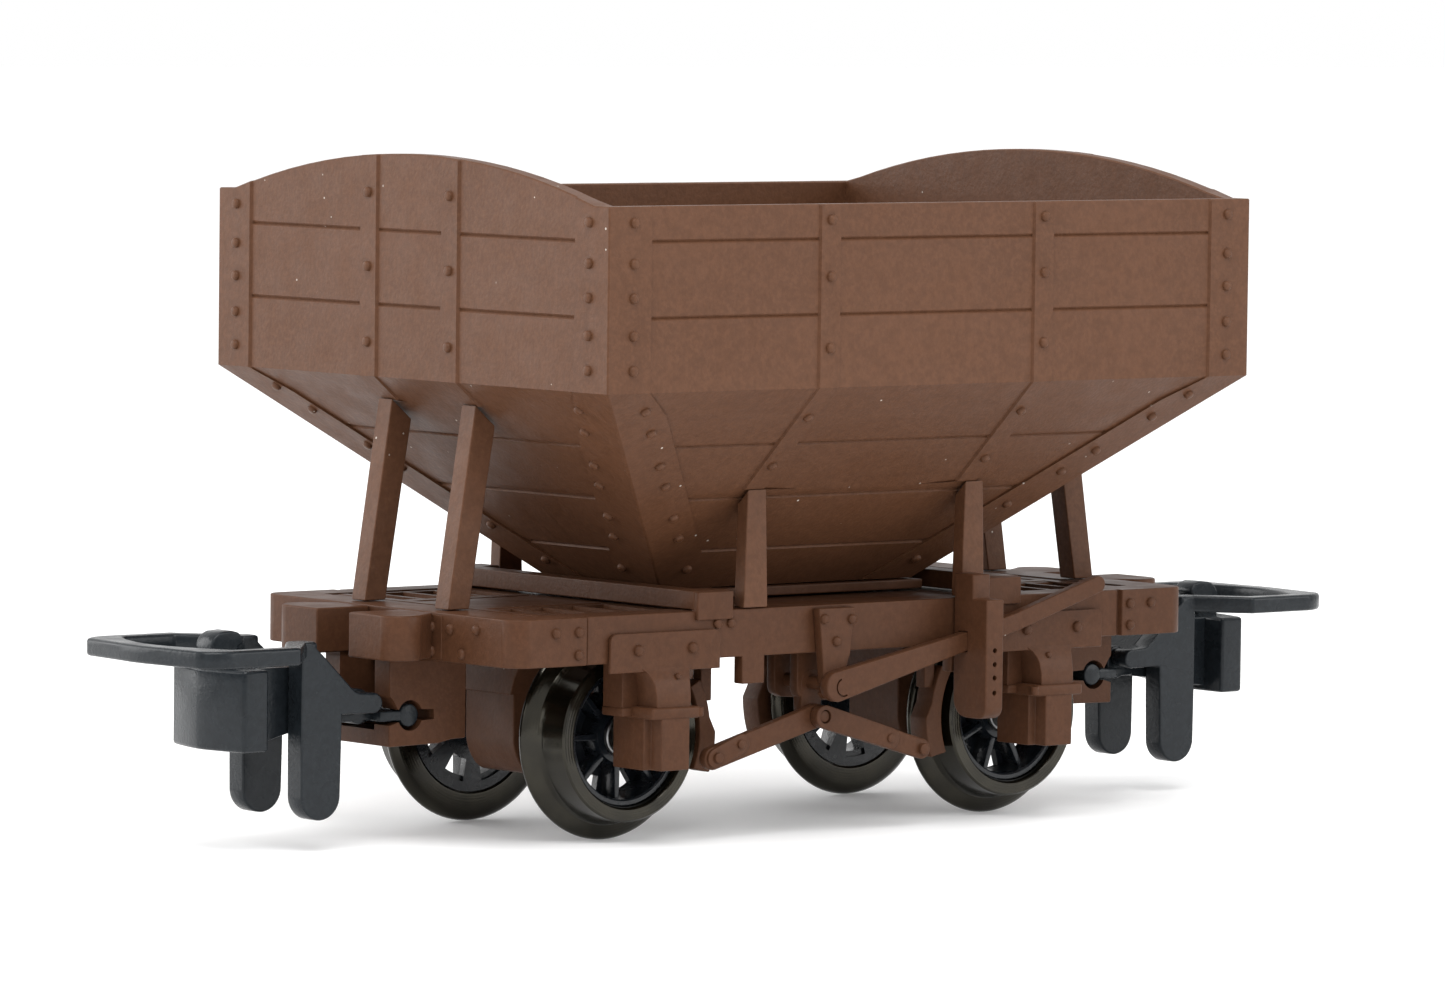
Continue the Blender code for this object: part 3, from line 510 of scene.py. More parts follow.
def tub_level(z, side_strap=True, end_strap=True, groove=0.0, inset=0.0, height=None):
    """A ring of points round the tub's outside at one height."""
    length, width = half_size(z)
    sloping = z < KINK
    corner = HIP_STRAP if sloping else CORNER_STRAP
    lean = (math.hypot(1, SLOPE_X), math.hypot(1, SLOPE_Y)) if sloping else (1.0, 1.0)
    side = wall_points(length, TUB_LENGTH, SIDE_STRAP, corner, side_strap, RECESS * lean[1],
                       groove * lean[1])
    end = wall_points(width, TUB_WIDTH, END_STRAP, corner, end_strap, RECESS * lean[0],
                      groove * lean[0])
    quarter = [(x, width - depth - inset) for x, depth in side]
    quarter += [(length - depth - inset, y) for y, depth in reversed(end)]
    if inset:
        quarter = [(min(x, length - inset), min(y, width - inset)) for x, y in quarter]
    ring = quarter + [(x, -y) for x, y in reversed(quarter[:-1])]
    ring += [(-x, -y) for x, y in quarter[1:]] + [(-x, y) for x, y in reversed(quarter[1:-1])]
    return [(x, y, height(y) if height else z) for x, y in ring]


def inner_level(inset_x, inset_y, z, height=None):
    """A ring inside the tub with as many points as the outside ones."""
    length, width = half_size(z)
    share_x, share_y = (length - inset_x) / length, (width - inset_y) / width
    outside = tub_level(z)
    ring = []
    for x, y, level in outside:
        x, y = x * share_x, y * share_y
        x = math.copysign(length - inset_x, x) if abs(x) > length - inset_x - 2 * SOFT else x
        y = math.copysign(width - inset_y, y) if abs(y) > width - inset_y - 2 * SOFT else y
        ring.append((x, y, height(y) if height else level))
    return ring


def make_tub():
    levels = [tub_level(TUB_LOW.z, False, False)]
    marks = [(z, GROOVE) for z in LOWER_GROOVES]
    marks += [(SIDE_STRAP_END, None), (END_STRAP_END, None)]
    for z, groove in sorted(marks):
        side_strap, end_strap = z > SIDE_STRAP_END, z > END_STRAP_END
        if groove:
            for dz, depth in ((-GROOVE, 0.0), (0.0, groove), (GROOVE, 0.0)):
                levels.append(tub_level(z + dz, side_strap, end_strap, depth))
        else:
            levels.append(tub_level(z - EDGE, side_strap, end_strap))
            levels.append(tub_level(z + EDGE, z >= SIDE_STRAP_END, z >= END_STRAP_END))
    levels.append(tub_level(KINK))
    for z in reversed(UPPER_GROOVES):
        for dz, depth in ((-GROOVE, 0.0), (0.0, GROOVE), (GROOVE, 0.0)):
            levels.append(tub_level(z + dz, groove=depth))
    levels.append(tub_level(SIDE_TOP, height=lambda y: rim_height(y) - SOFT))
    levels.append(tub_level(SIDE_TOP, inset=SOFT, height=rim_height))
    inset_x = WALL * math.hypot(1, SLOPE_X)
    inset_y = WALL * math.hypot(1, SLOPE_Y)
    inner_kink = KINK + (inset_x - WALL) / SLOPE_X
    levels.append(inner_level(WALL - SOFT, WALL - SOFT, SIDE_TOP, rim_height))
    levels.append(inner_level(WALL, WALL, SIDE_TOP, lambda y: rim_height(y) - SOFT))
    levels.append(inner_level(WALL, WALL, inner_kink))
    levels.append(inner_level(inset_x, inset_y, TUB_LOW.z))
    mesh = mesh_of("tub", loft(levels, capped=False))
    stand_for("hopper_tub", mesh, BROWN, corner=24)

    heads = []
    side_out = Vector((0, 1, -SLOPE_Y)).normalized()
    end_out = Vector((1, 0, -SLOPE_X)).normalized()
    side_fall, end_fall = side_out.z / side_out.y, end_out.z / end_out.x
    for sx, sy in CORNERS:
        for z in (22.88, 21.42, 20.20, 18.86, 17.62):
            heads.append(((sx * CORNER_RIVETS[0], sy * TUB_WIDTH, z), (0, sy, 0)))
            heads.append(((sx * TUB_LENGTH, sy * CORNER_RIVETS[1], z), (sx, 0, 0)))
        for z in (22.90, 20.84, 18.26):
            heads.append(((sx * SIDE_RIVETS, sy * TUB_WIDTH, z), (0, sy, 0)))
        for z in (23.56, 20.85, 18.08):
            heads.append(((sx * TUB_LENGTH, sy * END_RIVETS, z), (sx, 0, 0)))
        for z in (16.13, 15.28, 13.98, 13.17, 11.91, 11.08, 9.80):
            length, width = half_size(z)
            heads.append(((sx * (length - HIP_RIVETS[0]), sy * width, z), (0, sy, side_fall)))
            heads.append(((sx * length, sy * (width - HIP_RIVETS[1]), z), (sx, 0, end_fall)))
        for z in (15.70, 13.83):
            heads.append(((sx * SIDE_RIVETS, sy * half_size(z)[1], z), (0, sy, side_fall)))
    show_heads("tub_rivets", heads)


# ---------------------------------------------------------------- chassis

FRAME_HIGH = box_mm("chassis_frame")[1]
FRAME_X = FRAME_HIGH.x
FRAME_SIDE_Y = 7.5
FRAME_OPENING = ((-14.5, 14.5), (-6.1, 6.1), (6, 9))
FRAME_BEND = 0.8                # radius of the corners that the plates wrap round
WRAP_X = 12.9                   # where the wrapped corner plates start
WRAP_DEPTH = 0.12               # the step in front of them
FRAME_TOP = FRAME_HIGH.z
FRAME_BOTTOM = 6.80
AXLE_X = 9.25
AXLE_HEIGHT = 3.87
SLOTS_X = (8.3, 9.72, 11.14, 12.56)             # where the deck's slots start
SLOT_LENGTH = 1.16
SIDE_POSTS = ((5.03, ((-1, 1), (-1, -1))), (5.45, ((1, -1), (1, 1))))   # middle, and corners
POST_GAP = 0.04                 # between the struts' feet and the frame
LEDGE_Z = (4.80, 5.12)          # the axleguards' ledge, with its knob


def make_frame():
    """The frame ring with its wrapped corner plates, hanging tabs and rivets."""
    wrap_y = FRAME_HIGH.y
    step_x, step_y = WRAP_X - WRAP_DEPTH, FRAME_SIDE_Y - WRAP_DEPTH
    quarter = [(0, FRAME_SIDE_Y), (step_x, FRAME_SIDE_Y), (step_x, step_y), (WRAP_X, step_y),
               (WRAP_X, wrap_y)]
    quarter += arc((FRAME_X - FRAME_BEND, wrap_y - FRAME_BEND), FRAME_BEND, 90, 0, 12)
    outline = quarter + [(x, -y) for x, y in reversed(quarter)]
    outline += [(-x, -y) for x, y in quarter[1:]] + [(-x, y) for x, y in reversed(quarter[1:])]
    shapes = [prism(outline, "Z", FRAME_BOTTOM, FRAME_TOP)]
    flange = (FRAME_X - 0.1, FRAME_X + 0.035)
    for sx, sy in CORNERS:
        shapes.append(box(span((4.50, 5.55), sx), span((7.0, FRAME_SIDE_Y), sy), (5.79, 6.95)))
        shapes.append(box(span(flange, sx), span((2.30, 3.39), sy), (6.86, 8.46), 0.02))
    stand_for("chassis_frame", made_of(shapes, [box(*FRAME_OPENING, 0)]), BROWN)

    heads = []
    for sx, sy in CORNERS:
        for x, z in ((14.34, 8.02), (13.29, 8.02), (13.29, 7.20)):
            heads.append(((sx * x, sy * wrap_y, z), (0, sy, 0)))
        for x in (6.12, 6.76):
            heads.append(((sx * x, sy * FRAME_SIDE_Y, 8.06), (0, sy, 0)))
        for y, z in ((3.90, 8.0), (5.43, 8.06), (4.60, 7.14)):
            heads.append(((sx * FRAME_X, sy * y, z), (sx, 0, 0)))
        for z in (8.02, 7.14):
            heads.append(((sx * flange[1], sy * 2.82, z), (sx, 0, 0)))
    show_heads("frame_rivets", heads)


def make_deck():
    """The deck plate with its rows of slots, and the low ribs moulded on it."""
    low, high = box_mm("deck_plate")
    cuts = []
    for sx, sy in CORNERS:
        for x in SLOTS_X:
            cuts.append(box(span((x, x + SLOT_LENGTH), sx), span((2.75, 5.7), sy), (8, 9), 0))
    cuts.append(rod("Z", (0, 0), 0.5, 8, 9, soft=0))
    mesh = made_of([box((low.x, high.x), (low.y, high.y), (low.z, high.z))], cuts)
    stand_for("deck_plate", mesh, BROWN)

    top = high.z - 0.03
    relief = (top, top + 0.06)
    for sx in (1, -1):
        rib = made_of([box(span((13.55, 13.95), sx), (-5.9, 5.9), relief)])
        show(f"deck_rib_{ENDS[sx]}", rib, BROWN, "chassis")
    for sx, sy in CORNERS:
        strip = made_of([box(span((8.1, 13.6), sx), span((1.9, 2.4), sy), relief)])
        show(f"deck_strip_{corner_name(sx, sy)}", strip, BROWN, "chassis")


def make_buffers():
    """Dumb buffers: bars whose outer cheek bends round towards the headstock."""
    low, high = box_mm("dumb_buffer_rear_right")
    cheek = 0.85
    outline = [(low.x, low.y), (high.x, low.y)]
    outline += arc((high.x - cheek, high.y - cheek), cheek, 0, 140, 22) + [(low.x, 2.85)]
    at_corners("dumb_buffer", made_of([prism(outline, "Z", low.z, high.z, 0.07)]), BROWN)


def make_bolsters():
    low, high = box_mm("bolster_rear")
    beam = box((6.95, high.x), (low.y, high.y), (low.z, high.z))
    blocks = [box((low.x, high.x), span((6.3, high.y), side), (low.z, high.z)) for side in (1, -1)]
    lip_x, lip_z = (low.x + 0.03, high.x - 0.03), (8.22, high.z - 0.03)
    lips = [box(lip_x, span((high.y - 0.2, 7.66), side), lip_z) for side in (1, -1)]
    at_ends("bolster", made_of([beam, *blocks, *lips]), BROWN)


def make_posts():
    """Struts under the tub: their feet stand on the frame and their heads follow its slopes."""
    foot = FRAME_TOP + POST_GAP
    for middle, corners in SIDE_POSTS:
        rings = []
        for half, heights in ((0.56, (foot, foot)), (0.44, (12.35, 12.91))):
            rings.append([(middle - half, 7.0, heights[0]), (middle + half, 7.0, heights[0]),
                          (middle + half, 7.6, heights[1]), (middle - half, 7.6, heights[1])])
        at_corners("side_post", made_of([softened(loft(rings))]), BROWN, corners)
    low, high = box_mm("end_post_rear_right")
    foot_x = (14.65, 15.60)
    head_z = (15.22, 15.98)
    head_x = [half_size(z + 0.06)[0] for z in head_z]
    order = ((0, 0), (1, 0), (1, 1), (0, 1))
    sides = (low.y, high.y)
    rings = [[(foot_x[i], sides[j], foot) for i, j in order],
             [(head_x[i], sides[j], head_z[i]) for i, j in order]]
    at_corners("end_post", made_of([softened(loft(rings))]), BROWN)


def make_axleguards():
    """Axleguards: bolted plate, the column growing out of it, ledge with a knob, and axlebox."""
    low, high = box_mm("axleguard_rear_right")
    x = AXLE_X
    plate = [(x - 2.5, 6.45), (x + 2.6, 6.45)]
    plate += arc((x + 2.3, 7.58), 0.30, 0, 90, 8) + arc((x - 2.2, 7.58), 0.30, 90, 180, 8)
    rings = []
    back = 6.85
    for z, half, face in ((4.9, 0.78, 8.15), (5.6, 0.80, 8.13), (6.0, 0.83, 8.05),
                          (6.22, 0.88, 7.95), (6.40, 0.96, 7.83), (6.52, 1.08, 7.74),
                          (6.62, 1.20, 7.68)):
        rings.append([(x - half, back, z), (x + half, back, z), (x + half, face, z),
                      (x - half, face, z)])
    plan = [(x + 0.66, 8.25), (x - 0.66, 8.25), (x - 0.66, 7.66), (x - 1.0, 7.66), (x - 1.0, low.y),
            (x + 1.0, low.y), (x + 1.0, 7.66), (x + 0.66, 7.66)]
    shapes = [
        prism(plate, "Y", 7.54, 7.69, 0.03),
        box((x - 1.5, x + 1.5), (low.y, 7.0), (4.96, 6.76)),
        softened(loft(rings), 0.04, 40),
        prism(plan, "Z", low.z, 4.96),
        box((x - 1.12, x + 1.12), (low.y, high.y), (4.75, 5.17), 0.08),
        box((x - 1.55, x + 1.55), (low.y, 7.1), LEDGE_Z, 0.06),
        rod("Z", (x - 1.15, 8.16), 0.17, *LEDGE_Z, 16),
    ]
    mesh = made_of(shapes, [box((x - 3, x + 3), (5, 7.54), (6.76, 9), 0)])
    at_corners("axleguard", mesh, BROWN)

    heads = []
    for sx, sy in CORNERS:
        for bolt_x in (8.06, 10.58):
            heads.append(((sx * bolt_x, sy * 7.69, 7.25), (0, sy, 0)))
    show_heads("axleguard_bolts", heads, 0.21, 0.17)
    pins = [((sx * (x - 0.30), sy * 7.92, 6.26), (0, sy, 0.3)) for sx, sy in CORNERS]
    show_heads("axleguard_pins", pins, 0.12, 0.14)


def make_axle_blocks():
    low, high = box_mm("axle_block_rear")
    x = AXLE_X
    pedestal = [(1.45, 5.2), (1.52, 5.5), (1.66, 5.85), (1.86, 6.15), (2.2, 6.55), (2.2, high.z)]
    pedestal = pedestal + [(-y, z) for y, z in reversed(pedestal)]
    side = [(2.15, 5.4), (2.15, 3.5), (2.11, 3.25), (2.02, 2.98), (1.88, 2.72), (1.70, 2.48),
            (1.52, 2.33), (1.35, low.z)]
    tongue = [(x + dx, z) for dx, z in side] + [(x - dx, z) for dx, z in reversed(side)]
    shapes = [prism(pedestal, "X", x - 2.3, x + 2.3), prism(tongue, "Y", -1.45, 1.45, 0.06)]
    mesh = made_of(shapes, [rod("Y", (x, AXLE_HEIGHT), 0.80, -3, 3, soft=0)])
    at_ends("axle_block", mesh, BROWN)


# ---------------------------------------------------------------- wheels

WHEEL_CENTRE = (AXLE_X, AXLE_HEIGHT)
SPOKES = 8
BAY = 360 / SPOKES              # degrees from one spoke to the next
HALF_WINDOW = 12.0              # degrees
REAR_TURN = 18                  # degrees by which the rear wheels stand turned


def wheel_web(centre, radii, windows, y):
    """The thin web behind the spokes: a disc with one window between each pair of spokes."""
    steps, gap_steps = 8, 4         # across a window, and between two windows
    turns = []
    for i in range(SPOKES):
        middle = BAY * i + BAY / 2
        turns += [middle - HALF_WINDOW + 2 * HALF_WINDOW * k / steps for k in range(steps + 1)]
        turns += [middle + HALF_WINDOW + (BAY - 2 * HALF_WINDOW) * k / gap_steps
                  for k in range(1, gap_steps)]
    levels = (radii[0], windows[0], windows[1], radii[1])
    bm = bmesh.new()
    grid = []
    for along in y:
        rows = []
        for radius in levels:
            row = []
            for turn in turns:
                a = math.radians(turn)
                across, up = radius * math.cos(a), radius * math.sin(a)
                row.append(bm.verts.new((centre[0] + across, along, centre[1] + up)))
            rows.append(row)
        grid.append(rows)
    count = len(turns)
    per_bay = steps + gap_steps
    for r in range(3):
        for i in range(count):
            j = (i + 1) % count
            if r == 1 and i % per_bay < steps:
                continue
            for side in grid:
                bm.faces.new((side[r][i], side[r][j], side[r + 1][j], side[r + 1][i]))
    for i in range(count):
        j = (i + 1) % count
        window = i % per_bay < steps
        for r in (0, 1, 2, 3) if window else (0, 3):
            bm.faces.new((grid[0][r][i], grid[0][r][j], grid[1][r][j], grid[1][r][i]))
        if i % per_bay in (0, steps):
            bm.faces.new((grid[0][1][i], grid[0][2][i], grid[1][2][i], grid[1][1][i]))
    bmesh.ops.recalc_face_normals(bm, faces=bm.faces)
    return bm


def make_wheels():
    """Turned tyres, plastic centres with thin deep spokes on a windowed web, and the axles."""
    low, high = box_mm("wheel_tyre_rear_right")
    flange = ((2.80, 0.05), (2.86, 0.0), (3.42, 0.0), (3.60, 0.03), (3.76, 0.10), (3.85, 0.20),
              (3.87, 0.30), (3.84, 0.38), (3.74, 0.46), (3.50, 0.55), (3.32, 0.62), (3.25, 0.72),
              (3.22, 0.86))
    face = ((3.11, 0.07), (3.04, 0.0), (2.66, 0.0), (2.60, 0.05), (2.56, 0.16))
    profile = [(radius, low.y + y) for radius, y in flange]
    profile += [(radius, high.y - y) for radius, y in face] + [(2.56, 4.15), (2.80, 4.15)]
    tyre = mesh_of("tyre", ring_about_y(profile, WHEEL_CENTRE, 96))
    at_corners("wheel_tyre", tyre, "blackened_metal", corner=32)

    rim = [(2.20, 3.92), (2.54, 3.92), (2.54, 5.30), (2.50, 5.34), (2.36, 5.34), (2.30, 5.28)]
    hub = [(0.77, 1.62), (1.06, 1.62), (1.10, 1.70), (1.10, 4.76), (0.98, 4.96), (0.77, 5.00)]
    shapes = [ring_about_y(rim, WHEEL_CENTRE, 64), ring_about_y(hub, WHEEL_CENTRE, 32)]
    spoke = [(0.95, -0.13), (2.38, -0.10), (2.38, 0.10), (0.95, 0.13)]
    for i in range(SPOKES):
        arm = prism(spoke, "Y", 4.06, 4.88, 0.04)
        turn = Matrix.Rotation(math.tau * i / SPOKES, 3, "Y")
        bmesh.ops.rotate(arm, verts=arm.verts, matrix=turn)
        bmesh.ops.translate(arm, verts=arm.verts, vec=Vector((AXLE_X, 0, AXLE_HEIGHT)))
        shapes.append(arm)
    wheel = made_of(shapes)
    web = mesh_of("web", wheel_web(WHEEL_CENTRE, (1.05, 2.77), (1.55, 2.42), (3.80, 4.10)))
    here = Matrix.Translation((AXLE_X * MM, 0, AXLE_HEIGHT * MM))
    turn = here @ Matrix.Rotation(math.radians(REAR_TURN), 4, "Y") @ here.inverted()
    for side_x, change in ((1, turn), (-1, turn.inverted())):
        wheel.transform(change)
        web.transform(change)
        corners = ((side_x, 1), (side_x, -1))
        at_corners("wheel_centre", wheel, "black_plastic", corners, 40)
        for corner in corners:
            show(f"wheel_web_{corner_name(*corner)}", mirrored(web, *corner), "black_plastic",
                 f"wheelset_{ENDS[side_x]}")

    axle = made_of([rod("Y", WHEEL_CENTRE, 0.75, -5.2, 5.2, 48, 0.12)])
    at_ends("axle", axle, "steel")


# ---------------------------------------------------------------- couplers

PIVOT = (18.35, 5.29)
BOSS = (16.56, 4.74)
ARM_Y = (1.34, 2.23)
PIN_END = 2.02                  # the pin stops inside the arms, whose outer faces are plain
PIVOT_HOLE_END = 2.08           # and so does its hole
LEDGE_TOP = 6.88                # of the pocket's sides, beneath the buffers
THROUGH = 3                     # half length of a cut that goes right through


def make_pockets():
    """Coupler pockets: a channel under each headstock with a keyhole through both walls."""
    low, high = box_mm("coupler_pocket_rear")
    profile = [(low.x, 3.80), (14.64, 3.78), (15.24, 3.66), (high.x, low.z), (high.x, high.z),
               (low.x, high.z)]
    x, z = BOSS
    keyhole = [(15.48, z - 0.18), (x, z - 0.23), (17.1, z - 0.23), (17.7, z - 0.4), (17.7, 5.7),
               (17.35, 5.35), (17.1, z + 0.23), (x, z + 0.23), (15.48, z + 0.18)]
    cuts = [box((14.6, 18), (-1.06, 1.06), (4.2, 8), 0),
            prism(keyhole, "Y", -THROUGH, THROUGH, 0),
            rod("Y", BOSS, 0.56, -THROUGH, THROUGH, 32, 0)]
    shapes = [prism(profile, "Y", low.y, high.y, 0.07)]
    ledge_x, ledge_z = (16.3, high.x - 0.02), (high.z - 0.2, LEDGE_TOP)
    for side in (1, -1):
        shapes.append(box(ledge_x, span((1.08, 1.96), side), ledge_z, 0))
    at_ends("coupler_pocket", made_of(shapes, cuts), BROWN)


def make_hooks():
    """Coupler hooks: boss and shank, pivot lug, web, bulged buffing plate and the hook."""
    plate_x, bulge, half = (23.05, 24.13), 0.49, 2.22
    front = []
    for i in range(15):
        y = half * (1 - i / 14)
        front.append((plate_x[1] + bulge * (1 - (y / half) ** 1.4), y))
    plate = both_sides([(plate_x[0], half)] + front)
    crest = [(24.35, 6.5), (24.40, 7.25)] + arc((23.80, 7.40), 0.58, 0, 80, 7)
    crest += [(23.45, 8.0), (23.15, 7.93), (22.94, 7.70), (22.96, 7.50), (23.12, 7.46),
              (23.26, 7.25), (23.32, 6.5)]
    z = (4.55, 4.93)
    web = [(18.9, z[0]), (21.5, 4.25), (22.4, 4.02), (23.2, 3.95), (23.2, 6.66), (20.4, 6.66),
           (18.9, PIVOT[1])]
    shapes = [
        rod("Y", BOSS, 0.42, -1.92, 1.92, 32, 0.06),
        box((BOSS[0], 17.85), (-1.90, 1.90), z, 0.06),
        box((17.7, 19.2), (-1.30, 1.30), (z[0] + 0.01, z[1] - 0.01), 0.06),
        prism(web, "Y", -1.2, 1.2, 0.06),
        prism(bar_outline(PIVOT, (PIVOT[0], 4.9), 0.45, 0.45), "Y", -1.29, 1.29, 0.06),
        prism(plate, "Z", 3.75, 6.70, 0.14),
        prism(crest, "Y", -0.5, 0.5, 0.12),
    ]
    mesh = made_of(shapes, [rod("Y", PIVOT, 0.24, -THROUGH, THROUGH, 24, 0)])
    at_ends("coupler_hook", mesh, "coupler_plastic")

    pin = made_of([rod("Y", PIVOT, 0.20, -PIN_END, PIN_END, 24, 0.05)])
    at_ends("coupler_pin", pin, "coupler_plastic")


def ring_outline(outer, inner):
    """A U-shaped outline from its outer and inner halves, each drawn from the back forwards."""
    def other_side(points):
        return [(x, -y) for x, y in points]
    return outer + other_side(outer)[::-1] + other_side(inner) + inner[::-1]


def make_loops():
    """Coupler loops: two arms with rounded lifting tails, joined by the flat loop in front."""
    low, high = box_mm("coupler_loop_rear")
    outer = [(20.9, ARM_Y[1] - 0.02), (21.45, ARM_Y[1] - 0.02), (23.0, 4.05)]
    outer += arc((25.85, 2.55), 1.5, 90, 34, 12) + [(high.x - 0.12, 1.4), (high.x, 0.4)]
    inner = [(20.9, ARM_Y[0] + 0.02), (21.75, ARM_Y[0] + 0.02), (23.25, 3.35)]
    inner += arc((25.25, 2.95), 0.45, 90, 15, 8) + [(26.1, 2.2), (26.48, 0.9), (26.56, 0.4)]
    shapes = [prism(ring_outline(outer, inner), "Z", 6.98, 7.62, 0.15)]
    tail_x = (19.80, 21.62)
    radius = (tail_x[1] - tail_x[0]) / 2 - 0.04
    middle = (tail_x[0] + tail_x[1]) / 2 + 0.02
    profile = arc(PIVOT, 0.37, 75, 270, 12)
    profile += [(tail_x[0], PIVOT[1] - 0.35), (tail_x[0] + 0.02, 3.6)]
    profile += arc((middle, low.z + radius), radius, 180, 360, 20)
    profile += [(tail_x[1], 3.6), (tail_x[1], 7.60), (21.20, 7.60), (21.02, 7.44), (20.65, 7.12),
                (20.05, 6.55), (19.40, 5.92), (19.22, 5.77), (19.05, 5.69)]
    for side in (1, -1):
        shapes.append(prism(profile, "Y", *span(ARM_Y, side), 0.08))
    mesh = made_of(shapes, [rod("Y", PIVOT, 0.25, -PIVOT_HOLE_END, PIVOT_HOLE_END, 24, 0)])
    at_ends("coupler_loop", mesh, "coupler_plastic")


# ---------------------------------------------------------------- brake gear

SHAFT = (-1.66, 5.63)
ROD_PIN = (-1.66, 4.42)
LEVER_Y = (-8.40, -7.96)
HANGER_FACE = 7.94
SHOE_FACE = 3.40                # radii round the axle: the shoes' faces towards the wheels,
SHOE_BACK = 3.92                # their backs,
SHOE_FOOT = 4.16                # and the backs of their thicker feet


def pin_hole():
    """The hole in a push rod for the crank's pin."""
    return rod("Y", ROD_PIN, 0.26, -9, -5, 20, 0)


def make_brake_lever():
    """Hanger with its rivets, shaft and crank, lever with its round end, and the guide with its
    slot and holes.
    """
    x, z = SHAFT
    hanger = [(x - 0.62, 8.45), (x - 0.30, 5.35)] + arc((x, z - 0.15), 0.42, 205, 335, 10)
    hanger += [(x + 0.90, 6.75), (x + 1.12, 8.45)]
    hole = rod("Y", SHAFT, 0.34, -9, -5, soft=0)
    plate = made_of([prism(hanger, "Y", -HANGER_FACE, -7.54)], [hole])
    on_brakes("brake_hanger", plate)
    heads = []
    for side in (1, -1):
        for px, pz in ((-2.05, 8.07), (-0.73, 8.01), (-1.45, 7.22)):
            heads.append(((px, side * HANGER_FACE, pz), (0, side, 0)))
    show_heads("hanger_rivets", heads)

    bracket = [(x - 0.68, 6.76), (x - 0.67, z - 0.25), (x - 0.58, z - 0.48), (x - 0.30, z - 0.62),
               (x + 0.75, z - 0.70), (x + 0.75, 6.76)]
    shapes = [rod("Y", SHAFT, 0.26, -8.25, -5.0),
              prism(bar_outline(SHAFT, ROD_PIN, 0.50, 0.45), "Y", -6.80, -6.30),
              prism(bracket, "Y", -6.78, -6.32), prism(bracket, "Y", -5.45, -5.0),
              rod("Y", ROD_PIN, 0.22, -7.58, -6.5, 20)]
    on_brakes("brake_crank", made_of(shapes))

    route = [SHAFT, (4.5, 6.98), (7.0, 7.62), (11.05, 8.87)]
    upper = [(px, pz + 0.35) for px, pz in route[1:-1]]
    lower = [(px, pz - 0.35) for px, pz in route[1:-1]]
    outline = arc((x - 0.02, z - 0.05), 0.56, 105, 285, 18) + lower
    outline += arc(route[-1], 0.32, -65, 105, 12) + upper[::-1]
    eye = (x + 0.22, z - 0.08)
    crescent = arc(eye, 0.36, 110, 300, 14) + arc(eye, 0.29, 300, 110, 14)
    cuts = [rod("Y", SHAFT, 0.28, -8.2, -5, soft=0),
            prism(crescent, "Y", -8.6, LEVER_Y[0] + 0.10, 0)]
    on_brakes("brake_lever", made_of([prism(outline, "Y", *LEVER_Y, 0.06)], cuts))

    low, high = -9.50, -7.64
    side = arc((low + 0.45, 4.60), 0.45, 180, 270, 8) + arc((high - 0.7, 4.85), 0.7, 270, 360, 8)
    side += [(high, 9.50), (-8.70, 9.50), (-8.70, 8.60), (low, 8.60)]
    slope = (route[2][1] - route[1][1]) / (route[2][0] - route[1][0])
    slot = []
    for px, dz in ((4.0, -0.39), (5.85, -0.39), (5.85, 0.39), (4.0, 0.39)):
        slot.append((px, route[1][1] + (px - route[1][0]) * slope + dz))
    cuts = [prism(slot, "Y", LEVER_Y[0] - 0.04, LEVER_Y[1] + 0.04, 0)]
    for pz in (6.71, 6.19, 5.69, 5.13):
        cuts.append(rod("Y", (4.93, pz), 0.10, low - 1, low + 0.35, 14, 0))
    guide = made_of([prism(side, "X", 4.50, 5.35, 0.06)], cuts)
    on_brakes("lever_guide", guide)


def make_brake_rods():
    """Push rods with their raised end plates and bolts, and the curved brake shoes."""
    end = (-6.60, 3.08)
    plate = bar_outline((-6.56, 3.10), (-5.35, 3.58), 0.36, 0.36)
    shapes = [prism(bar_outline(ROD_PIN, end, 0.44, 0.42), "Y", -7.20, -6.84),
              prism(plate, "Y", -7.30, -7.1, 0.03), rod("Y", (-6.50, 3.12), 0.19, -7.42, -7.1, 16),
              rod("Y", (-5.40, 3.56), 0.17, -7.38, -7.1, 16)]
    on_brakes("push_rod_inner", made_of(shapes, [pin_hole()]))

    end = (3.15, 2.98)
    plate = bar_outline(ROD_PIN, (1.55, 3.46), 0.43, 0.38)
    shapes = [prism(bar_outline(ROD_PIN, end, 0.43, 0.37), "Y", -7.54, -7.24),
              prism(plate, "Y", -7.64, -7.4, 0.03), rod("Y", end, 0.22, -7.70, -7.4, 20),
              rod("Y", (1.50, 3.47), 0.17, -7.71, -7.5, 16)]
    on_brakes("push_rod_outer", made_of(shapes, [pin_hole()]))

    band = arc(WHEEL_CENTRE, SHOE_BACK, 150, 172, 7) + arc(WHEEL_CENTRE, SHOE_FOOT, 180, 201, 7)
    band += arc(WHEEL_CENTRE, SHOE_FACE, 203, 150, 16)
    shapes = [prism(band, "Y", 4.50, 5.45), box((5.15, 5.65), (4.75, 5.25), (5.0, 8.06))]
    at_corners("brake_shoe", made_of(shapes), BROWN)


# ---------------------------------------------------------------- the object

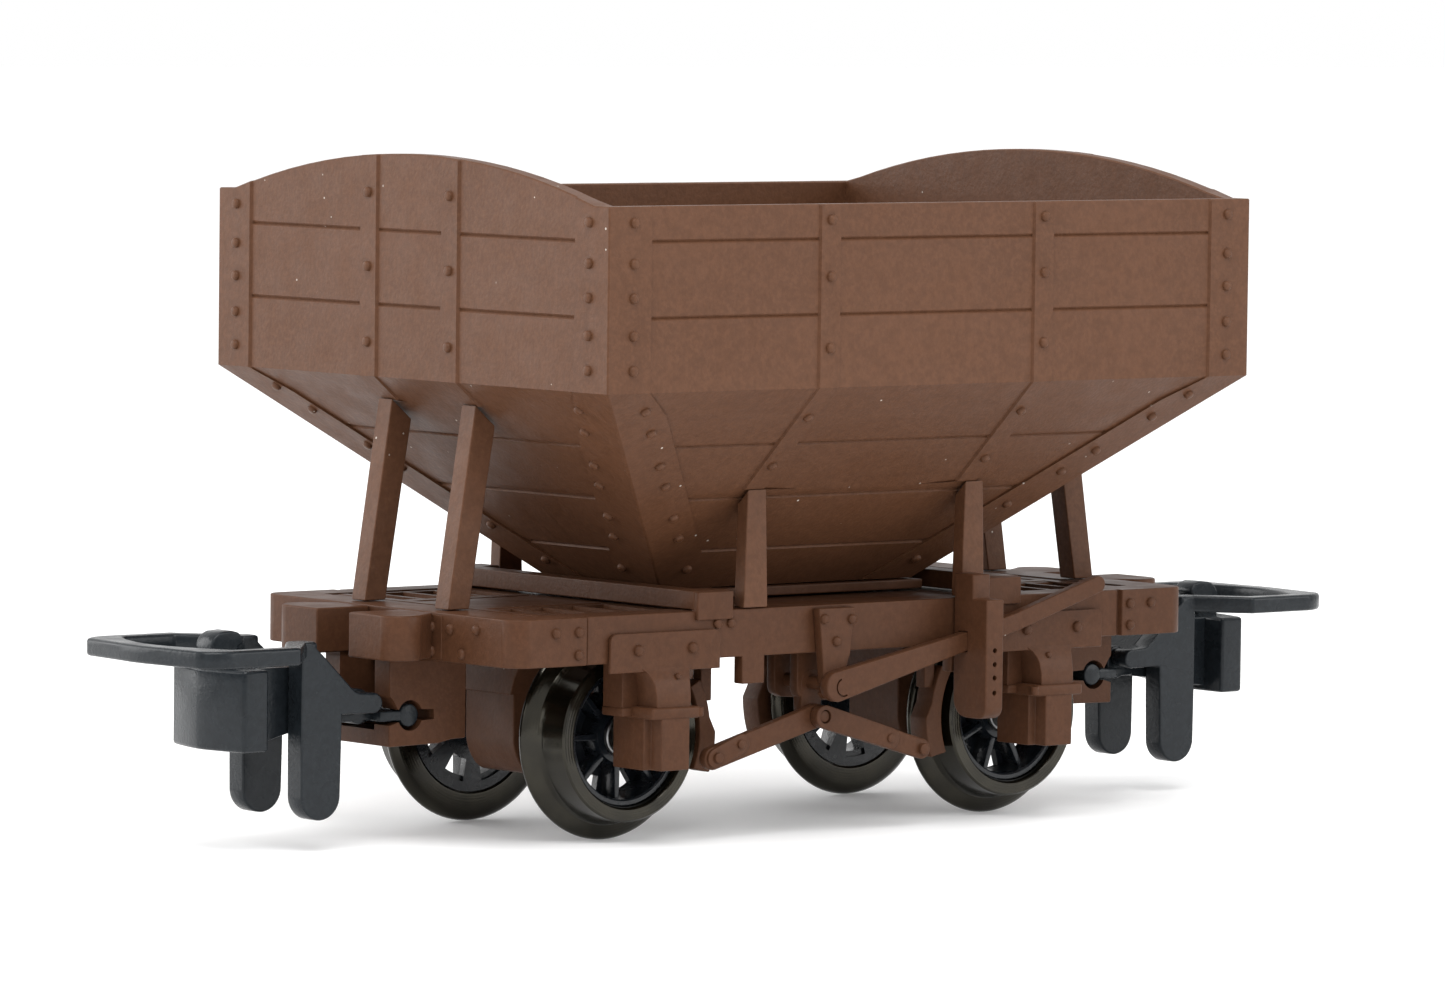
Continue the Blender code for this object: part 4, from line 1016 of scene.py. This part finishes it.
DUST = (0.55, 0.50, 0.44)
WELD = 1e-6                     # how close corners are, in metres, to be joined as one
MATERIALS = {
    # the brown slot's material is a darker copy of the tub's brown: painted shade for the chassis
    # that sits in the tub's shadow
    BROWN: moulded_plastic("chassis brown plastic darkened as painted shade", (0.052, 0.0212, 0.0102),
                           (0.074, 0.0308, 0.0152), 0.45, 0.12, DUST, 0.16),
    "coupler_plastic": moulded_plastic("charcoal coupler plastic", (0.0072, 0.0090, 0.0110),
                                       (0.0135, 0.0168, 0.0198), 0.25, 0.20, (0.4, 0.4, 0.4), 0.06),
    "black_plastic": moulded_plastic("black wheel plastic", (0.0040, 0.0050, 0.0066),
                                     (0.008, 0.010, 0.013), 0.25, 0.36, (0.3, 0.3, 0.3), 0.04),
    "blackened_metal": turned_metal("blackened tyre metal", (0.0125, 0.0108, 0.0070),
                                    (0.029, 0.0255, 0.0168), 0.15, 0.85, 9.0, 0.30),
    "steel": turned_metal("plain steel", (0.20, 0.20, 0.20), (0.38, 0.38, 0.38), 0.32, 1.0, 7.0),
}
# the tub and its posts take the lighter copy of the brown; the chassis brown above is darkened as
# painted shade
TUB_PLASTIC = moulded_plastic("tub brown plastic", (0.068, 0.0284, 0.0136), (0.100, 0.0430, 0.0214),
                              0.47, 0.16, DUST, 0.24)
TUB_PIECES = ("hopper", "tub", "side_post", "end_post")

make_tub()
make_frame()
make_deck()
make_buffers()
make_bolsters()
make_posts()
make_axleguards()
make_axle_blocks()
make_wheels()
make_pockets()
make_hooks()
make_loops()
make_brake_lever()
make_brake_rods()

for entry in frame["record"]["subparts"]:
    node = frame["nodes"][entry["node"]]
    if not node.hide_render:
        node.data.materials.clear()
        node.data.materials.append(MATERIALS[entry["material_slot"]])
        weld = node.modifiers.new("join corners", "WELD")
        weld.merge_threshold = WELD
        bevel = node.modifiers.new("soft edges", "BEVEL")
        bevel.width = SOFT * MM
        bevel.segments = 2
        bevel.limit_method = "ANGLE"


# ---------------------------------------------------------------- floor, light and camera

FLOOR_HALF = 1500
FLOOR_TONES = ((0.89, 0.89, 0.89), (0.91, 0.91, 0.91))
FLOOR_GLOW = 0.115              # keeps the floor pale where the lights fall off
LIT_POINT = (0, 0, 0.012)       # the lights' places are in metres too, and their powers in watts
LIGHTS = (
    ("key", (-0.12, -0.17, 0.38), (0.28, 0.28), 1.40),
    ("fill", (-0.30, 0.05, 0.16), (0.24, 0.24), 0.20),
    ("end_glow", (-0.20, 0.27, 0.12), (0.24, 0.20), 0.62),
    ("side_glow", (0.20, -0.26, 0.13), (0.24, 0.18), 0.40),
)
CAMERA_PLACE = (-203.23, -248.20, 32.83)
CAMERA_TURNS = (50.7528, 3.6664, 0.6937)        # yaw, pitch and roll in degrees
CAMERA_LENS = 213.14
SENSOR = 36.0                   # width


def make_floor():
    """A pale floor that runs far enough back to fill every view."""
    bm = bmesh.new()
    bmesh.ops.create_grid(bm, x_segments=2, y_segments=2, size=FLOOR_HALF)
    floor = bpy.data.objects.new("floor", mesh_of("floor", bm))
    bpy.context.collection.objects.link(floor)
    g = Graph("pale floor")
    colour = g.mix(g.step(g.noise(0.02, 3.0), 0.3, 0.7), *FLOOR_TONES)
    relief = g.bump(g.noise(1.2, 4.0), 0.01)
    g.shader.inputs["Emission Color"].default_value = (1.0, 1.0, 1.0, 1.0)
    g.shader.inputs["Emission Strength"].default_value = FLOOR_GLOW
    floor.data.materials.append(g.finish(colour, 0.55, 0.0, relief))


def area_light(name, place, size, power):
    """A rectangular lamp at a place, turned towards the lit point."""
    light = bpy.data.lights.new(name, "AREA")
    light.shape = "RECTANGLE"
    light.size, light.size_y = size
    light.energy = power
    lamp = bpy.data.objects.new(name, light)
    bpy.context.collection.objects.link(lamp)
    lamp.location = place
    lamp.rotation_euler = (Vector(LIT_POINT) - Vector(place)).to_track_quat("-Z", "Y").to_euler()


def make_light():
    world = bpy.data.worlds.new("studio")
    world.use_nodes = True
    background = world.node_tree.nodes["Background"]
    background.inputs["Color"].default_value = (1.0, 1.0, 1.0, 1.0)
    background.inputs["Strength"].default_value = 1.0
    bpy.context.scene.world = world
    for light in LIGHTS:
        area_light(*light)
    bpy.context.scene.view_settings.view_transform = "Standard"


def make_camera():
    """A long lens from a little above, in front of the corner between the front and left sides."""
    yaw, pitch, roll = (math.radians(turn) for turn in CAMERA_TURNS)
    level = math.cos(pitch)
    ahead = Vector((math.cos(yaw) * level, math.sin(yaw) * level, -math.sin(pitch)))
    right = Vector((math.sin(yaw), -math.cos(yaw), 0))
    up = right.cross(ahead)
    turned_right = math.cos(roll) * right + math.sin(roll) * up
    turned_up = math.cos(roll) * up - math.sin(roll) * right
    data = bpy.data.cameras.new("camera")
    data.lens = CAMERA_LENS
    data.sensor_width = SENSOR
    data.clip_start, data.clip_end = 0.01, 20.0
    camera = bpy.data.objects.new("camera", data)
    bpy.context.collection.objects.link(camera)
    place = Vector(CAMERA_PLACE) * MM
    axes = Matrix((turned_right, turned_up, -ahead)).transposed().to_4x4()
    camera.matrix_world = Matrix.Translation(place) @ axes
    bpy.context.scene.camera = camera


make_floor()
make_light()
make_camera()
